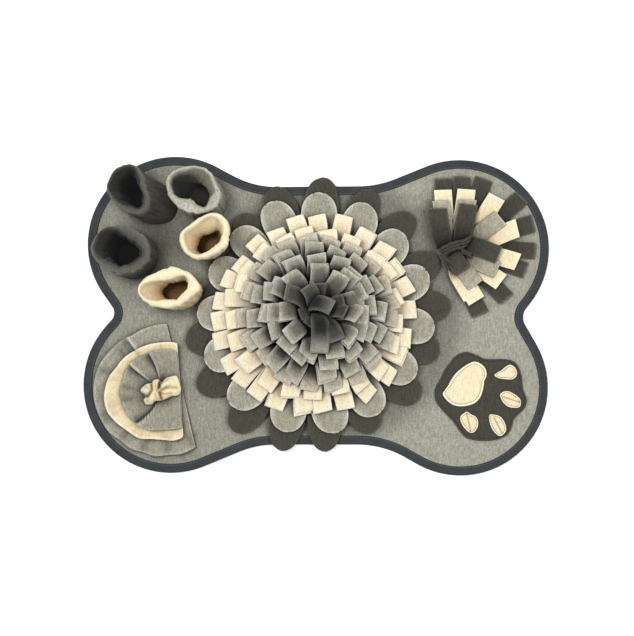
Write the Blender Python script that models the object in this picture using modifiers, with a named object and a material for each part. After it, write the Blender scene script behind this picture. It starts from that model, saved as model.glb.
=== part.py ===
"""Snuffle mat: a bone-shaped fleece mat that carries a fringed flower, five pouches, a corner
fringe, a layered ruffle and a paw patch, each sewn on.

Blender 4.5, metres, +Z up. The origin is the middle of the mat's outline, on the surface that
the mat lies on. +X runs along the mat, and +Y towards the edge behind the pouches.
Tables are in millimetres and degrees, and MM turns their lengths into metres.
"""

import math
import random

import bmesh
import bpy
from mathutils import Vector

MM = 0.001
GAP = 0.3 * MM  # left between pieces that lie on each other

# ---- mat and binding ------------------------------------------------------------------------
PANEL_THICK = 3.0 * MM
BINDING_WIDTH = 13.5 * MM
BINDING_CLOTH = 1.2 * MM
BINDING_HEIGHT = PANEL_THICK + 2 * (BINDING_CLOTH + GAP)
PANEL_LIFT = BINDING_CLOTH + GAP  # how far the panel rises to enter the folded binding
PANEL_LIFT_WIDTH = 4.0 * MM
PANEL_TOP = PANEL_THICK
OUTLINE_STEP = math.radians(11.25)

# The outline is a belt laid round these circles, anticlockwise. Turn is 1 where the belt goes
# round the outside of a lobe, and -1 where it bends into a hollow.
#    x, y, radius, turn
OUTLINE_CIRCLES = (
    (216, 101, 134, 1),  # right lobe, back
    (62, 345, 150, -1),  # hollow of the back edge
    (-60, 334, 140, -1),
    (-214, 108, 132, 1),  # left lobe, back
    (-321, 3, 16, -1),  # hollow of the left end
    (-218, -104, 132, 1),  # left lobe, front
    (-62, -334, 140, -1),  # hollow of the front edge
    (60, -338, 144, -1),
    (214, -108, 132, 1),  # right lobe, front
    (332, -4, 22, -1),  # hollow of the right end
)

# ---- flower -----------------------------------------------------------------------------------
FLOWER = Vector((-4, 2, 0)) * MM
PETAL_CLOTH = 2.0 * MM
PETAL_ROOT = 100 * MM
PETAL_WIDTH = 55 * MM
PETAL_EDGE_CURL = 1.2 * MM
# share of the petal's length, share of its full width
PETAL_ROWS = ((0.0, 0.60), (0.24, 0.86), (0.5, 1.0), (0.72, 0.90), (0.90, 0.60), (0.985, 0.24))

# angle, reach from the flower's middle
CHARCOAL_PETALS = (
    (3.5, 205), (23, 206), (44, 207), (65, 208), (86.5, 207), (107, 202), (127, 188),
    (148, 160), (170, 168), (192, 198), (213, 206), (235, 208), (256, 212), (275.5, 208),
    (296, 198), (319, 202), (342, 196),
)
GREY_PETALS = (
    (17, 182), (40, 181), (63, 184), (87, 183), (110.5, 181), (132.5, 174), (156, 172),
    (180, 176), (203.5, 179), (229, 180), (255, 183), (278.5, 182), (302, 179), (327.5, 179),
    (353, 182),
)
CHARCOAL_PETAL_RISE = 4.2 * MM
GREY_PETAL_RISE = 6.8 * MM

# One row for each ring of folded strips, from the outside in. The strips lean out from their
# roots, pass under a control point and end at their tips.
#   name, cloth, strips, root radius, control radius, control height, tip radius, tip height,
#   root width, tip width
FRINGE_RINGS = (
    ("fringe_cream_low", "cream", 26, 92, 108, 42, 150, 18, 17, 28),
    ("fringe_cream_high", "cream", 22, 80, 92, 60, 129, 33, 17, 28),
    ("fringe_grey_1", "grey", 20, 69, 80, 69, 116, 46, 16, 27),
    ("fringe_grey_2", "grey", 18, 58, 67, 77, 101, 57, 15, 27),
    ("fringe_grey_3", "grey", 15, 47, 54, 82, 85, 66, 15, 26),
    ("fringe_grey_4", "grey", 12, 36, 42, 86, 70, 73, 14, 26),
    ("fringe_grey_5", "grey", 9, 25, 30, 89, 54, 78, 12, 26),
)
# The crown's dark strips: heading, tip radius, tip height
CROWN_STRIPS = (
    (32, 38, 84), (88, 46, 83), (131, 38, 84), (183, 40, 83), (227, 44, 83), (268, 58, 84),
    (311, 46, 83),
)
CROWN_ROOT = 15
CROWN_CONTROL = (18, 94)
CROWN_WIDTHS = (10, 25)
FRINGE_BASE_DEPTH = 5.0 * MM
FRINGE_BASE_HEIGHT = 3.0 * MM
STRIP_THICK = 4.4 * MM
STRIP_STEPS = 3
CROWN_LEAN = Vector((11, 7, 0)) * MM  # how far the strips' tips lean at the crown's height
CROWN_HEIGHT = 80 * MM
TUFT_RADIUS = 6.0 * MM
TUFT_HEIGHT = 84 * MM

# ---- pouches ----------------------------------------------------------------------------------
POUCH_POINTS = 24
POUCH_FOOT_WALL = 7  # mm of wall at the foot
# share of the height, share of the wall counted in from its outer face
POUCH_PROFILE = (
    (0.0, 0.0), (0.45, 0.0), (0.86, -0.03), (0.97, 0.15), (1.0, 0.5), (0.97, 0.85),
    (0.85, 1.0), (0.3, 1.0), (0.0, 1.0),
)
#   name, cloth, height, base x, y, half sizes and turn, rim x, y, then how far the rim and its
#   opening lie from there at each 30 degrees from +X
POUCHES = (
    ("pouch_charcoal_back", "charcoal", 58, -249, 169, 44, 34, -28, -273, 177,
     (18, 20, 31, 36, 33, 28, 27, 30, 33, 38, 36, 30),
     (14, 14, 25, 25, 21, 17, 16, 19, 25, 27, 29, 26)),
    ("pouch_grey", "grey", 57, -170, 172, 33, 32, 0, -178, 180,
     (36, 38, 38, 36, 39, 42, 37, 33, 31, 35, 36, 36),
     (21, 21, 17, 14, 20, 26, 23, 19, 16, 18, 26, 23)),
    ("pouch_charcoal_side", "charcoal", 56, -277, 89, 37, 34, 0, -286, 92,
     (38, 33, 34, 35, 36, 39, 40, 37, 33, 33, 37, 40),
     (30, 22, 23, 27, 29, 29, 25, 23, 22, 24, 28, 33)),
    ("pouch_cream_inner", "cream", 56, -167, 110, 28, 26, 0, -160, 108,
     (34, 37, 39, 34, 33, 36, 37, 37, 36, 32, 31, 35),
     (20, 21, 29, 24, 22, 24, 28, 24, 27, 20, 17, 18)),
    ("pouch_cream_front", "cream", 53, -219, 35, 34, 26, 14, -214, 38,
     (45, 44, 37, 30, 30, 34, 45, 42, 34, 30, 31, 35),
     (30, 27, 23, 16, 14, 20, 37, 35, 23, 19, 20, 22)),
)

# ---- corner fringe ----------------------------------------------------------------------------
CORNER = Vector((210, 97, 0)) * MM
CORNER_BASE_RADIUS = 20 * MM
CORNER_BASE_DEPTH = 5.0 * MM
CORNER_STRIP_THICK = 3.0 * MM
#   name, cloth, height of the strips' underside at the root and at the tip, root width, tip
#   width, and the strips as pairs of angle and reach
CORNER_LAYERS = (
    ("corner_charcoal_long", "charcoal", 3.3, 5.4, 5.0, 26,
     ((-73, 102), (-46, 103), (-18, 107), (1.5, 117), (20.5, 120), (40, 121), (66, 118),
      (84.5, 112), (102, 110))),
    ("corner_cream", "cream", 6.6, 9.4, 5.0, 26,
     ((-66, 76), (-36, 82), (-8.5, 92), (20.5, 99), (53, 103), (82, 97), (103, 96))),
    ("corner_grey", "grey", 9.9, 13.6, 5.5, 25,
     ((-64, 58), (-36, 60), (-8, 66), (36, 80), (80, 78), (105, 78))),
    ("corner_charcoal_short", "charcoal", 13.2, 17.6, 6.0, 25,
     ((-58, 44), (-8, 66), (74, 73), (108, 69))),
)

# ---- ruffle -----------------------------------------------------------------------------------
RUFFLE = Vector((-235, -110, 0)) * MM
RUFFLE_SECTORS = 36
RUFFLE_ROWS = (0.36, 0.7, 1.0)
RUFFLE_CLOTH = 2.0 * MM
#   name, cloth, straight side x and its slant, rise at the hem, the hem as rows of angle and
#   reach, and folds as rows of angle, half width in degrees and height
RUFFLE_LAYERS = (
    ("ruffle_grey_wide", "grey", 33, 0.24, 3.2,
     ((60, 97), (85, 99), (122, 89), (159, 95), (184, 96), (205, 97), (245, 97), (266, 99),
      (279, 100), (300, 101), (330, 101)),
     ((88, 22, 3.0), (124, 16, 3.5), (152, 17, 2.5), (196, 24, 2.0), (252, 12, 4.5),
      (278, 12, 5.0))),
    ("ruffle_cream", "cream", 31, 0.07, 3.0,
     ((60, 76), (73, 75), (122, 71), (145, 72), (167, 80), (187, 82), (204, 85), (244, 78),
      (277, 74), (295, 79), (330, 80)),
     ((104, 18, 2.5), (145, 18, 3.0), (205, 18, 2.5), (262, 16, 3.5))),
    ("ruffle_grey_top", "grey", 30, 0.07, 2.0,
     ((60, 63), (73, 63), (105, 56), (151, 57), (183, 59), (202, 61), (242, 60), (299, 67),
      (330, 68)),
     ((107, 15, 4.5), (140, 15, 4.0), (250, 26, 5.5))),
)

# Lumps of a gathered knot: x, y, long half size, short half size, height, turn
BOW_AT = Vector((-236, -110, 0)) * MM
BOW_LUMPS = (
    (17, 6, 14, 14, 15, 10),
    (0, 0, 10, 11, 13, 60),
    (-15, 5, 12, 9, 14, 40),
    (-13, -9, 12, 9, 13, -25),
)
KNOT_LUMPS = (
    (-7, 10, 17, 8, 11, 25),
    (2, 0, 19, 8, 12, 22),
    (-4, -12, 12, 9, 10, -50),
)
LUMP_BASE = 4.0 * MM  # thickness of the knots where their lumps meet
LUMP_SEGMENTS = 14
LUMP_RINGS = 7

# ---- paw --------------------------------------------------------------------------------------
PAW = Vector((248, -119, 0)) * MM
PAW_CLOTH = 2.0 * MM
PAW_PAD_THICK = 2.6 * MM
PAW_PAD_EDGE = 0.8 * MM
PAW_PATCH = (
    (-72, 9), (-70, -4), (-58, -20), (-43, -35), (-35, -53), (-14, -65), (6, -62), (25, -64),
    (43, -47), (46, -34), (61, -22), (66, -1), (61, 18), (58, 40), (38, 57), (0, 57), (-26, 67),
    (-43, 50), (-59, 36), (-68, 18),
)
PAW_MAIN_PAD = (
    (-14, 50), (-2, 45), (5, 37), (3, 28), (0, 19), (0, 11), (-8, 0), (-20, -9), (-34, -13),
    (-48, -10), (-58, 1), (-54, 14), (-43, 28), (-28, 44),
)
#   x, y, long half size, short half size, turn, how far the small end is drawn to a point
PAW_TOES = (
    (37, 37, 16, 10.5, 20, 0.45),
    (43, -4, 16, 10, -26, 0.15),
    (23, -42, 17, 10.5, -58, 0.15),
    (-20, -38, 15, 12, -76, 0.15),
)
TOE_POINTS = 12

# Colours of the cloths, in sRGB
CLOTHS = {
    "mat": ("fleece_mat_grey", "8F8F8A", 0.95),
    "grey": ("fleece_mid_grey", "8C8B88", 0.95),
    "charcoal": ("fleece_charcoal", "4B4B49", 0.95),
    "cream": ("fleece_cream", "F2DFB8", 0.95),
    "binding": ("woven_binding_slate", "3F474C", 0.8),
}


def linear(hexadecimal):
    """An sRGB hex colour as linear red, green, blue and alpha."""
    parts = [int(hexadecimal[i : i + 2], 16) / 255 for i in (0, 2, 4)]
    return [p / 12.92 if p <= 0.04045 else ((p + 0.055) / 1.055) ** 2.4 for p in parts] + [1.0]


def cloth_material(key):
    name, colour, roughness = CLOTHS[key]
    material = bpy.data.materials.get(name)
    if material is None:
        material = bpy.data.materials.new(name)
        material.use_nodes = True
        shader = material.node_tree.nodes["Principled BSDF"]
        shader.inputs["Base Color"].default_value = linear(colour)
        shader.inputs["Roughness"].default_value = roughness
        shader.inputs["Metallic"].default_value = 0.0
        material.diffuse_color = linear(colour)
    return material


def add_object(name, data, cloth):
    made = bpy.data.objects.new(name, data)
    bpy.data.collections["snuffle_mat"].objects.link(made)
    made.data.materials.append(cloth_material(cloth))
    return made


def object_from_bmesh(name, bm, cloth):
    """Makes a bmesh an object, its faces pointing outwards, or upwards where it is one sheet."""
    bmesh.ops.recalc_face_normals(bm, faces=bm.faces)
    bm.normal_update()
    if bm.edges and any(edge.is_boundary for edge in bm.edges):
        if sum(face.normal.z for face in bm.faces) < 0:
            bmesh.ops.reverse_faces(bm, faces=bm.faces)
    mesh = bpy.data.meshes.new(name)
    bm.to_mesh(mesh)
    bm.free()
    mesh.shade_smooth()
    mesh.set_sharp_from_angle(angle=math.radians(40))
    return add_object(name, mesh, cloth)


def band(bm, ring, following, closed=True):
    """Quads between two rows of vertices of equal length."""
    count = len(ring)
    for i in range(count if closed else count - 1):
        j = (i + 1) % count
        bm.faces.new((ring[i], ring[j], following[j], following[i]))


def smooth_step(t):
    t = min(1.0, max(0.0, t))
    return t * t * (3 - 2 * t)


def turned(x, y, degrees):
    angle = math.radians(degrees)
    cosine, sine = math.cos(angle), math.sin(angle)
    return x * cosine - y * sine, x * sine + y * cosine


def round_value(values, angle):
    """A smooth value at an angle, from values at even steps round a circle."""
    step = 360 / len(values)
    i = math.floor(angle / step)
    t = angle / step - i
    a, b, c, d = (values[(i + k) % len(values)] for k in (-1, 0, 1, 2))
    return b + 0.5 * t * (c - a + t * (2 * a - 5 * b + 4 * c - d + t * (3 * (b - c) + d - a)))


def row_value(rows, x):
    """A smoothly stepped value at x, from rows of x and value in rising order."""
    if x <= rows[0][0]:
        return rows[0][1]
    for (x_0, v_0), (x_1, v_1) in zip(rows, rows[1:]):
        if x <= x_1:
            return v_0 + (v_1 - v_0) * smooth_step((x - x_0) / (x_1 - x_0))
    return rows[-1][1]


# ---- mat --------------------------------------------------------------------------------------
def outline(inset):
    """Points of the mat's outline, drawn in from its edge by inset, anticlockwise."""
    circles = [
        (Vector((x, y)) * MM, turn * radius * MM - inset) for x, y, radius, turn in OUTLINE_CIRCLES
    ]
    normals = []
    for i, (centre, radius) in enumerate(circles):
        following, next_radius = circles[(i + 1) % len(circles)]
        way = following - centre
        lean = math.acos((next_radius - radius) / way.length)
        normals.append(math.atan2(way.y, way.x) + lean)
    points = []
    for i, (centre, radius) in enumerate(circles):
        first, last = normals[i - 1], normals[i]
        sweep = (last - first) % math.tau
        if radius < 0:
            sweep -= math.tau
        low, high = sorted((first, first + sweep))
        between = range(math.floor(low / OUTLINE_STEP) + 1, math.ceil(high / OUTLINE_STEP))
        angles = [low] + [k * OUTLINE_STEP for k in between] + [high]
        for angle in angles if radius > 0 else reversed(angles):
            points.append(centre - radius * Vector((math.cos(angle), math.sin(angle))))
    return points


def outline_ring(bm, inset, z):
    return [bm.verts.new((p.x, p.y, z)) for p in outline(inset)]


def build_panel():
    """The bone-shaped cloth, flat on the floor, with its rim lifted into the binding."""
    hidden_edge = BINDING_CLOTH + 2 * GAP
    flat_edge = BINDING_WIDTH + PANEL_LIFT_WIDTH
    bm = bmesh.new()
    rings = [
        outline_ring(bm, inset, z)
        for inset, z in (
            (flat_edge, 0.0),
            (BINDING_WIDTH, PANEL_LIFT),
            (hidden_edge, PANEL_LIFT),
            (hidden_edge, PANEL_LIFT + PANEL_THICK),
            (BINDING_WIDTH, PANEL_LIFT + PANEL_THICK),
            (flat_edge, PANEL_TOP),
        )
    ]
    for ring, following in zip(rings, rings[1:]):
        band(bm, ring, following)
    bm.faces.new(rings[0])
    bm.faces.new(rings[-1])
    object_from_bmesh("mat_panel", bm, "mat")


def build_binding():
    """The tape folded over the mat's edge: a C in section, with a rounded fold."""
    round_off = 2.0 * MM
    inner = BINDING_CLOTH + GAP / 2
    low, high = BINDING_CLOTH, BINDING_HEIGHT - BINDING_CLOTH
    profile = (
        (BINDING_WIDTH, 0.0),
        (round_off, 0.0),
        (0.0, round_off),
        (0.0, BINDING_HEIGHT - round_off),
        (round_off, BINDING_HEIGHT),
        (BINDING_WIDTH, BINDING_HEIGHT),
        (BINDING_WIDTH, high),
        (inner, high),
        (inner, low),
        (BINDING_WIDTH, low),
    )
    bm = bmesh.new()
    rings = [outline_ring(bm, inset, z) for inset, z in profile]
    for ring, following in zip(rings, rings[1:] + rings[:1]):
        band(bm, ring, following)
    object_from_bmesh("edge_binding", bm, "binding")


# ---- flower -----------------------------------------------------------------------------------
def petal_half_width(petals, i):
    """Half the width of a petal, less where its neighbours stand close."""
    angle, reach = petals[i]
    near = min(
        (petals[(i + 1) % len(petals)][0] - angle) % 360, (angle - petals[i - 1][0]) % 360
    )
    middle = (PETAL_ROOT + reach * MM) / 2
    room = 2 * middle * math.tan(math.radians(near / 2)) - 2.0 * MM
    return min(PETAL_WIDTH, room) / 2


def build_petals(name, cloth, petals, z, rise):
    """A flower cut from one cloth. Its petals lift off the mat and curl up at their edges."""
    bm = bmesh.new()
    rim = []
    for i, (angle, reach) in enumerate(petals):
        half_width = petal_half_width(petals, i)
        row_before = None
        for share, width_share in PETAL_ROWS:
            along = PETAL_ROOT + share * (reach * MM - PETAL_ROOT)
            row = []
            for side in (-1, 0, 1):
                x, y = turned(along, side * half_width * width_share, angle)
                lift = rise * smooth_step(share / 0.62) - 0.2 * rise * share**3
                curl = abs(side) * PETAL_EDGE_CURL * math.sin(math.pi * share)
                row.append(bm.verts.new(FLOWER + Vector((x, y, z + lift + curl))))
            if row_before:
                band(bm, row_before, row, closed=False)
            else:
                rim += row
            row_before = row
    bm.faces.new(rim)
    made = object_from_bmesh(name, bm, cloth)
    thicken(made, PETAL_CLOTH)


def thicken(made, thickness):
    """Gives an open cloth surface its thickness, built up from its underside."""
    solidify = made.modifiers.new("cloth_thickness", "SOLIDIFY")
    solidify.thickness = thickness
    solidify.offset = 1.0


def strip_loop(middle, across, normal, width, thickness):
    """The four corners of a strip's section: inner left, inner right, outer right, outer left."""
    half, depth = across * width / 2, normal * thickness / 2
    return [middle - half - depth, middle + half - depth, middle + half + depth,
            middle - half + depth]


def bend(start, control, end, t):
    """A point of a quadratic curve, and the way it runs there."""
    point = start * (1 - t) ** 2 + control * 2 * t * (1 - t) + end * t * t
    way = (control - start) * (1 - t) + (end - control) * t
    return point, way.normalized()


def add_strip(bm, root, loops):
    """Walls from the root's four vertices through each loop of corners, and the end."""
    below = root
    for corners in loops:
        above = [bm.verts.new(p) for p in corners]
        band(bm, below, above)
        below = above
    bm.faces.new(below)


def build_fringe_ring(row, ring_index):
    """A ring of folded strips at an even pitch, with a little stray."""
    name, cloth, count, root, control, control_z, tip, tip_z, root_width, tip_width = row
    chance = random.Random(100 + ring_index)
    phase = 180 / count * (ring_index % 2)
    strips = []
    for i in range(count):
        angle = phase + 360 * i / count
        stray = chance.uniform(-1, 1) * 25 / count
        strips.append(
            (angle, angle + stray, tip + chance.uniform(-2.5, 2.5), tip_z + chance.uniform(-0.7, 0.7))
        )
    build_strips(name, cloth, strips, root, (control, control_z), (root_width, tip_width))


def build_crown():
    """The dark strips at the top of the flower, which fall unevenly over the others."""
    count = len(CROWN_STRIPS)
    first = CROWN_STRIPS[0][0]
    strips = [
        (first + 360 * i / count, heading, reach, height)
        for i, (heading, reach, height) in enumerate(CROWN_STRIPS)
    ]
    build_strips("fringe_charcoal", "charcoal", strips, CROWN_ROOT, CROWN_CONTROL, CROWN_WIDTHS)


def build_strips(name, cloth, strips, root, control, widths):
    """Folded strips whose roots are one sewn band round the flower. Strips are rows of root
    angle, heading at the tip, tip radius and tip height."""
    bottom = PANEL_TOP + 2 * (PETAL_CLOTH + 2 * GAP)
    top = bottom + FRINGE_BASE_HEIGHT
    inner, outer = root * MM - FRINGE_BASE_DEPTH / 2, root * MM + FRINGE_BASE_DEPTH / 2
    half_turn = math.degrees(math.asin(widths[0] / 2 / root))
    bm = bmesh.new()
    stations = []
    tops = []
    for root_angle, _, _, _ in strips:
        for side in (-1, 1):
            station = []
            for radius, z in ((inner, top), (outer, top), (outer, bottom), (inner, bottom)):
                x, y = turned(radius, 0, root_angle + side * half_turn)
                station.append(bm.verts.new(FLOWER + Vector((x, y, z))))
            stations.append(station)
    for i, station in enumerate(stations):
        following = stations[(i + 1) % len(stations)]
        sides = [(0, 1), (1, 2), (2, 3), (3, 0)]
        if i % 2 == 0:
            tops.append((station[0], following[0], following[1], station[1]))
            sides = sides[1:]
        for a, b in sides:
            bm.faces.new((station[a], station[b], following[b], following[a]))
    for face_top, (root_angle, heading, reach, height) in zip(tops, strips):
        start = Vector((root * MM, 0, top))
        end = Vector((reach, 0, height)) * MM
        loops = []
        for k in range(1, STRIP_STEPS + 1):
            t = k / STRIP_STEPS
            middle, way = bend(start, Vector((control[0], 0, control[1])) * MM, end, t)
            angle = root_angle + (heading - root_angle) * t
            out = Vector((*turned(way.x, 0, angle), way.z))
            across = Vector((*turned(0, 1, angle), 0))
            place = FLOWER + Vector((*turned(middle.x, 0, angle), middle.z))
            place += CROWN_LEAN * (middle.z / CROWN_HEIGHT) ** 2
            width = (widths[0] + (widths[1] - widths[0]) * t) * MM
            loops.append(strip_loop(place, across, across.cross(out), width, STRIP_THICK))
        add_strip(bm, face_top, loops)
    object_from_bmesh(name, bm, cloth)


def build_tuft():
    """The strip that stands in the middle of the flower, folded over at its top."""
    bottom = PANEL_TOP + 2 * (PETAL_CLOTH + 2 * GAP)
    bm = bmesh.new()
    sections = (
        # height share, lean share, width, thickness
        (0.0, 0.0, 9, 5),
        (0.05, 0.0, 9, 5),
        (0.6, 0.4, 12, 5),
        (0.93, 0.9, 17, 6),
        (1.0, 1.0, 17, 4),
    )
    rings = []
    for share, lean, width, thickness in sections:
        middle = FLOWER + Vector((0, 0, bottom + share * TUFT_HEIGHT)) + CROWN_LEAN * lean
        corners = strip_loop(
            middle, Vector((1, 0, 0)), Vector((0, 1, 0)), width * MM, thickness * MM
        )
        rings.append([bm.verts.new(p) for p in corners])
    for ring, following in zip(rings, rings[1:]):
        band(bm, ring, following)
    bm.faces.new(rings[0])
    bm.faces.new(rings[-1])
    object_from_bmesh("fringe_charcoal_tuft", bm, "charcoal")


# ---- pouches ----------------------------------------------------------------------------------
def build_pouch(row):
    """A tube of cloth folded over at its rim, open above and sewn down round its foot."""
    name, cloth, height, base_x, base_y, base_a, base_b, turn, rim_x, rim_y, rim, opening = row
    bm = bmesh.new()
    rings = []
    for share, wall_share in POUCH_PROFILE:
        spread = smooth_step(share)
        ring = []
        for k in range(POUCH_POINTS):
            angle = 360 * k / POUCH_POINTS
            along = math.radians(angle - turn)
            foot = base_a * base_b / math.hypot(base_b * math.cos(along), base_a * math.sin(along))
            mouth = round_value(rim, angle)
            wall = POUCH_FOOT_WALL + (mouth - round_value(opening, angle) - POUCH_FOOT_WALL) * spread
            reach = foot + (mouth - foot) * spread - wall * wall_share
            x, y = turned(reach, 0, angle)
            x += base_x + (rim_x - base_x) * share
            y += base_y + (rim_y - base_y) * share
            z = PANEL_TOP + GAP + share * height * MM
            ring.append(bm.verts.new((x * MM, y * MM, z)))
        rings.append(ring)
    for ring, following in zip(rings, rings[1:] + rings[:1]):
        band(bm, ring, following)
    object_from_bmesh(name, bm, cloth)


# ---- corner fringe ----------------------------------------------------------------------------
def build_corner_layer(row):
    """A fan of flat strips, whose roots are one band gathered round the corner's knot."""
    name, cloth, root_z, tip_z, root_width, tip_width, strips = row
    bottom = PANEL_TOP + GAP + (root_z - CORNER_LAYERS[0][2]) * MM
    top = bottom + CORNER_STRIP_THICK
    inner = CORNER_BASE_RADIUS - CORNER_BASE_DEPTH
    half_turn = math.degrees(math.asin(root_width * MM / 2 / CORNER_BASE_RADIUS))
    bm = bmesh.new()
    stations = []
    for angle, _ in strips:
        for side in (-1, 1):
            station = []
            for radius, z in (
                (CORNER_BASE_RADIUS, bottom), (CORNER_BASE_RADIUS, top), (inner, top),
                (inner, bottom),
            ):
                x, y = turned(radius, 0, angle + side * half_turn)
                station.append(bm.verts.new(CORNER + Vector((x, y, z))))
            stations.append(station)
    for i, (station, following) in enumerate(zip(stations, stations[1:])):
        sides = [(0, 1), (1, 2), (2, 3), (3, 0)]
        if i % 2 == 0:
            sides = sides[1:]
        for a, b in sides:
            bm.faces.new((station[a], station[b], following[b], following[a]))
    bm.faces.new(stations[0])
    bm.faces.new(stations[-1])
    for i, (angle, reach) in enumerate(strips):
        left, right = stations[2 * i], stations[2 * i + 1]
        root = (left[0], right[0], right[1], left[1])
        loops = []
        for t in (0.45, 1.0):
            along = CORNER_BASE_RADIUS + (reach * MM - CORNER_BASE_RADIUS) * t
            rise = (tip_z - root_z) * MM * smooth_step(t)
            middle = CORNER + Vector(
                (*turned(along, 0, angle), bottom + rise + CORNER_STRIP_THICK / 2)
            )
            across = Vector((*turned(0, 1, angle), 0))
            width = (root_width + (tip_width - root_width) * t) * MM
            loops.append(
                strip_loop(middle, across, Vector((0, 0, 1)), width, CORNER_STRIP_THICK)
            )
        add_strip(bm, root, loops)
    object_from_bmesh(name, bm, cloth)


# ---- ruffle -----------------------------------------------------------------------------------
def ruffle_reach(layer, angle):
    """How far a ruffle's hem lies from its middle: its arc, cut off by a slanting straight side."""
    _, _, side_x, slant, _, hem, _ = RUFFLE_LAYERS[layer]
    arc = row_value(hem, angle if angle > 30 else angle + 360)
    facing = math.cos(math.radians(angle)) + slant * math.sin(math.radians(angle))
    return min(arc, side_x / facing) if facing > 0 else arc


def ruffle_underside(layer, angle, distance):
    """Height of a ruffle's underside in millimetres, over all the layers below it."""
    height = (PANEL_TOP + GAP) / MM
    for k, (_, _, _, _, rise, hem, folds) in enumerate(RUFFLE_LAYERS[: layer + 1]):
        share = min(1.0, distance / hem[0][1])
        lift = rise * smooth_step(share)
        for fold_angle, half_width, fold_height in folds:
            away = abs((angle - fold_angle + 180) % 360 - 180) / half_width
            lift += fold_height * smooth_step(1 - away) * smooth_step(share)
        height += lift
        if k < layer:
            height += (RUFFLE_CLOTH + GAP) / MM
    return height


def build_ruffle(layer):
    """A round of cloth with a straight side, pleated out from its middle."""
    name, cloth = RUFFLE_LAYERS[layer][:2]
    bm = bmesh.new()
    middle = bm.verts.new(RUFFLE + Vector((0, 0, ruffle_underside(layer, 0, 0) * MM)))
    rings = []
    for share in RUFFLE_ROWS:
        ring = []
        for k in range(RUFFLE_SECTORS):
            angle = 360 * k / RUFFLE_SECTORS
            distance = share * ruffle_reach(layer, angle)
            x, y = turned(distance, 0, angle)
            z = ruffle_underside(layer, angle, distance)
            ring.append(bm.verts.new(RUFFLE + Vector((x, y, z)) * MM))
        rings.append(ring)
    for k in range(RUFFLE_SECTORS):
        bm.faces.new((middle, rings[0][k], rings[0][(k + 1) % RUFFLE_SECTORS]))
    for ring, following in zip(rings, rings[1:]):
        band(bm, ring, following)
    made = object_from_bmesh(name, bm, cloth)
    thicken(made, RUFFLE_CLOTH)


def build_lumps(name, cloth, at, bottom, lumps):
    """A gathered knot of cloth: overlapping lumps joined into one, and cut flat below."""
    pieces = []
    for i, (x, y, half_long, half_short, height, turn) in enumerate(lumps):
        base = LUMP_BASE - 0.3 * i * MM
        bm = bmesh.new()
        bmesh.ops.create_uvsphere(
            bm, u_segments=LUMP_SEGMENTS, v_segments=LUMP_RINGS, radius=1.0
        )
        for vertex in bm.verts:
            wide_x, wide_y = turned(vertex.co.x * half_long, vertex.co.y * half_short, turn)
            z = max(vertex.co.z, 0) * height * MM - (base if vertex.co.z < -0.5 else 0)
            vertex.co = at + Vector((x + wide_x, y + wide_y, 0)) * MM
            vertex.co.z = bottom + LUMP_BASE + z
        pieces.append(object_from_bmesh(name, bm, cloth))
    joined = pieces[0]
    for piece in pieces[1:]:
        cutters = bpy.data.collections["cutters"]
        bpy.data.collections["snuffle_mat"].objects.unlink(piece)
        cutters.objects.link(piece)
        piece.hide_render = True
        piece.display_type = "WIRE"
        union = joined.modifiers.new("gather", "BOOLEAN")
        union.operation = "UNION"
        union.object = piece


# ---- paw --------------------------------------------------------------------------------------
def build_flat_piece(name, cloth, centre, points, bottom, thickness, edge=0.0):
    """A flat cut piece with a smooth outline through its points, and an eased edge."""
    curve = bpy.data.curves.new(name, "CURVE")
    curve.dimensions = "2D"
    curve.fill_mode = "BOTH"
    curve.resolution_u = 3
    curve.extrude = thickness / 2 - edge
    curve.bevel_depth = edge
    curve.bevel_resolution = 0
    curve.offset = -edge
    spline = curve.splines.new("BEZIER")
    spline.bezier_points.add(len(points) - 1)
    spline.use_cyclic_u = True
    for knot, (x, y) in zip(spline.bezier_points, points):
        knot.co = (x * MM, y * MM, 0)
        knot.handle_left_type = knot.handle_right_type = "AUTO"
    outline_curve = add_object(name, curve, cloth)
    outline_curve.location = (centre.x, centre.y, bottom + thickness / 2)
    bpy.context.view_layer.update()
    graph = bpy.context.evaluated_depsgraph_get()
    mesh = bpy.data.meshes.new_from_object(outline_curve.evaluated_get(graph))
    mesh.transform(outline_curve.matrix_world)
    bpy.data.objects.remove(outline_curve)
    bm = bmesh.new()
    bm.from_mesh(mesh)
    bmesh.ops.remove_doubles(bm, verts=bm.verts, dist=0.01 * MM)
    object_from_bmesh(name, bm, cloth)


def toe_points(half_long, half_short, turn, point):
    """An almond outline with one end drawn to a point."""
    points = []
    for k in range(TOE_POINTS):
        angle = math.tau * k / TOE_POINTS
        narrowing = 1 - point * (1 - math.cos(angle)) / 2
        points.append(
            turned(half_long * math.cos(angle), half_short * math.sin(angle) * narrowing, turn)
        )
    return points


def build_paw():
    bottom = PANEL_TOP + GAP
    build_flat_piece("paw_patch", "charcoal", PAW, PAW_PATCH, bottom, PAW_CLOTH)
    pad_bottom = bottom + PAW_CLOTH + GAP
    build_flat_piece(
        "paw_main_pad", "cream", PAW, PAW_MAIN_PAD, pad_bottom, PAW_PAD_THICK, PAW_PAD_EDGE
    )
    for i, (x, y, half_long, half_short, turn, point) in enumerate(PAW_TOES):
        points = toe_points(half_long, half_short, turn, point)
        centre = PAW + Vector((x, y, 0)) * MM
        build_flat_piece(
            f"paw_toe_{i + 1}", "cream", centre, points, pad_bottom, PAW_PAD_THICK, PAW_PAD_EDGE
        )


def clear_scene():
    for old in list(bpy.data.objects):
        bpy.data.objects.remove(old)
    for name in ("snuffle_mat", "cutters"):
        bpy.context.scene.collection.children.link(bpy.data.collections.new(name))


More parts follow.
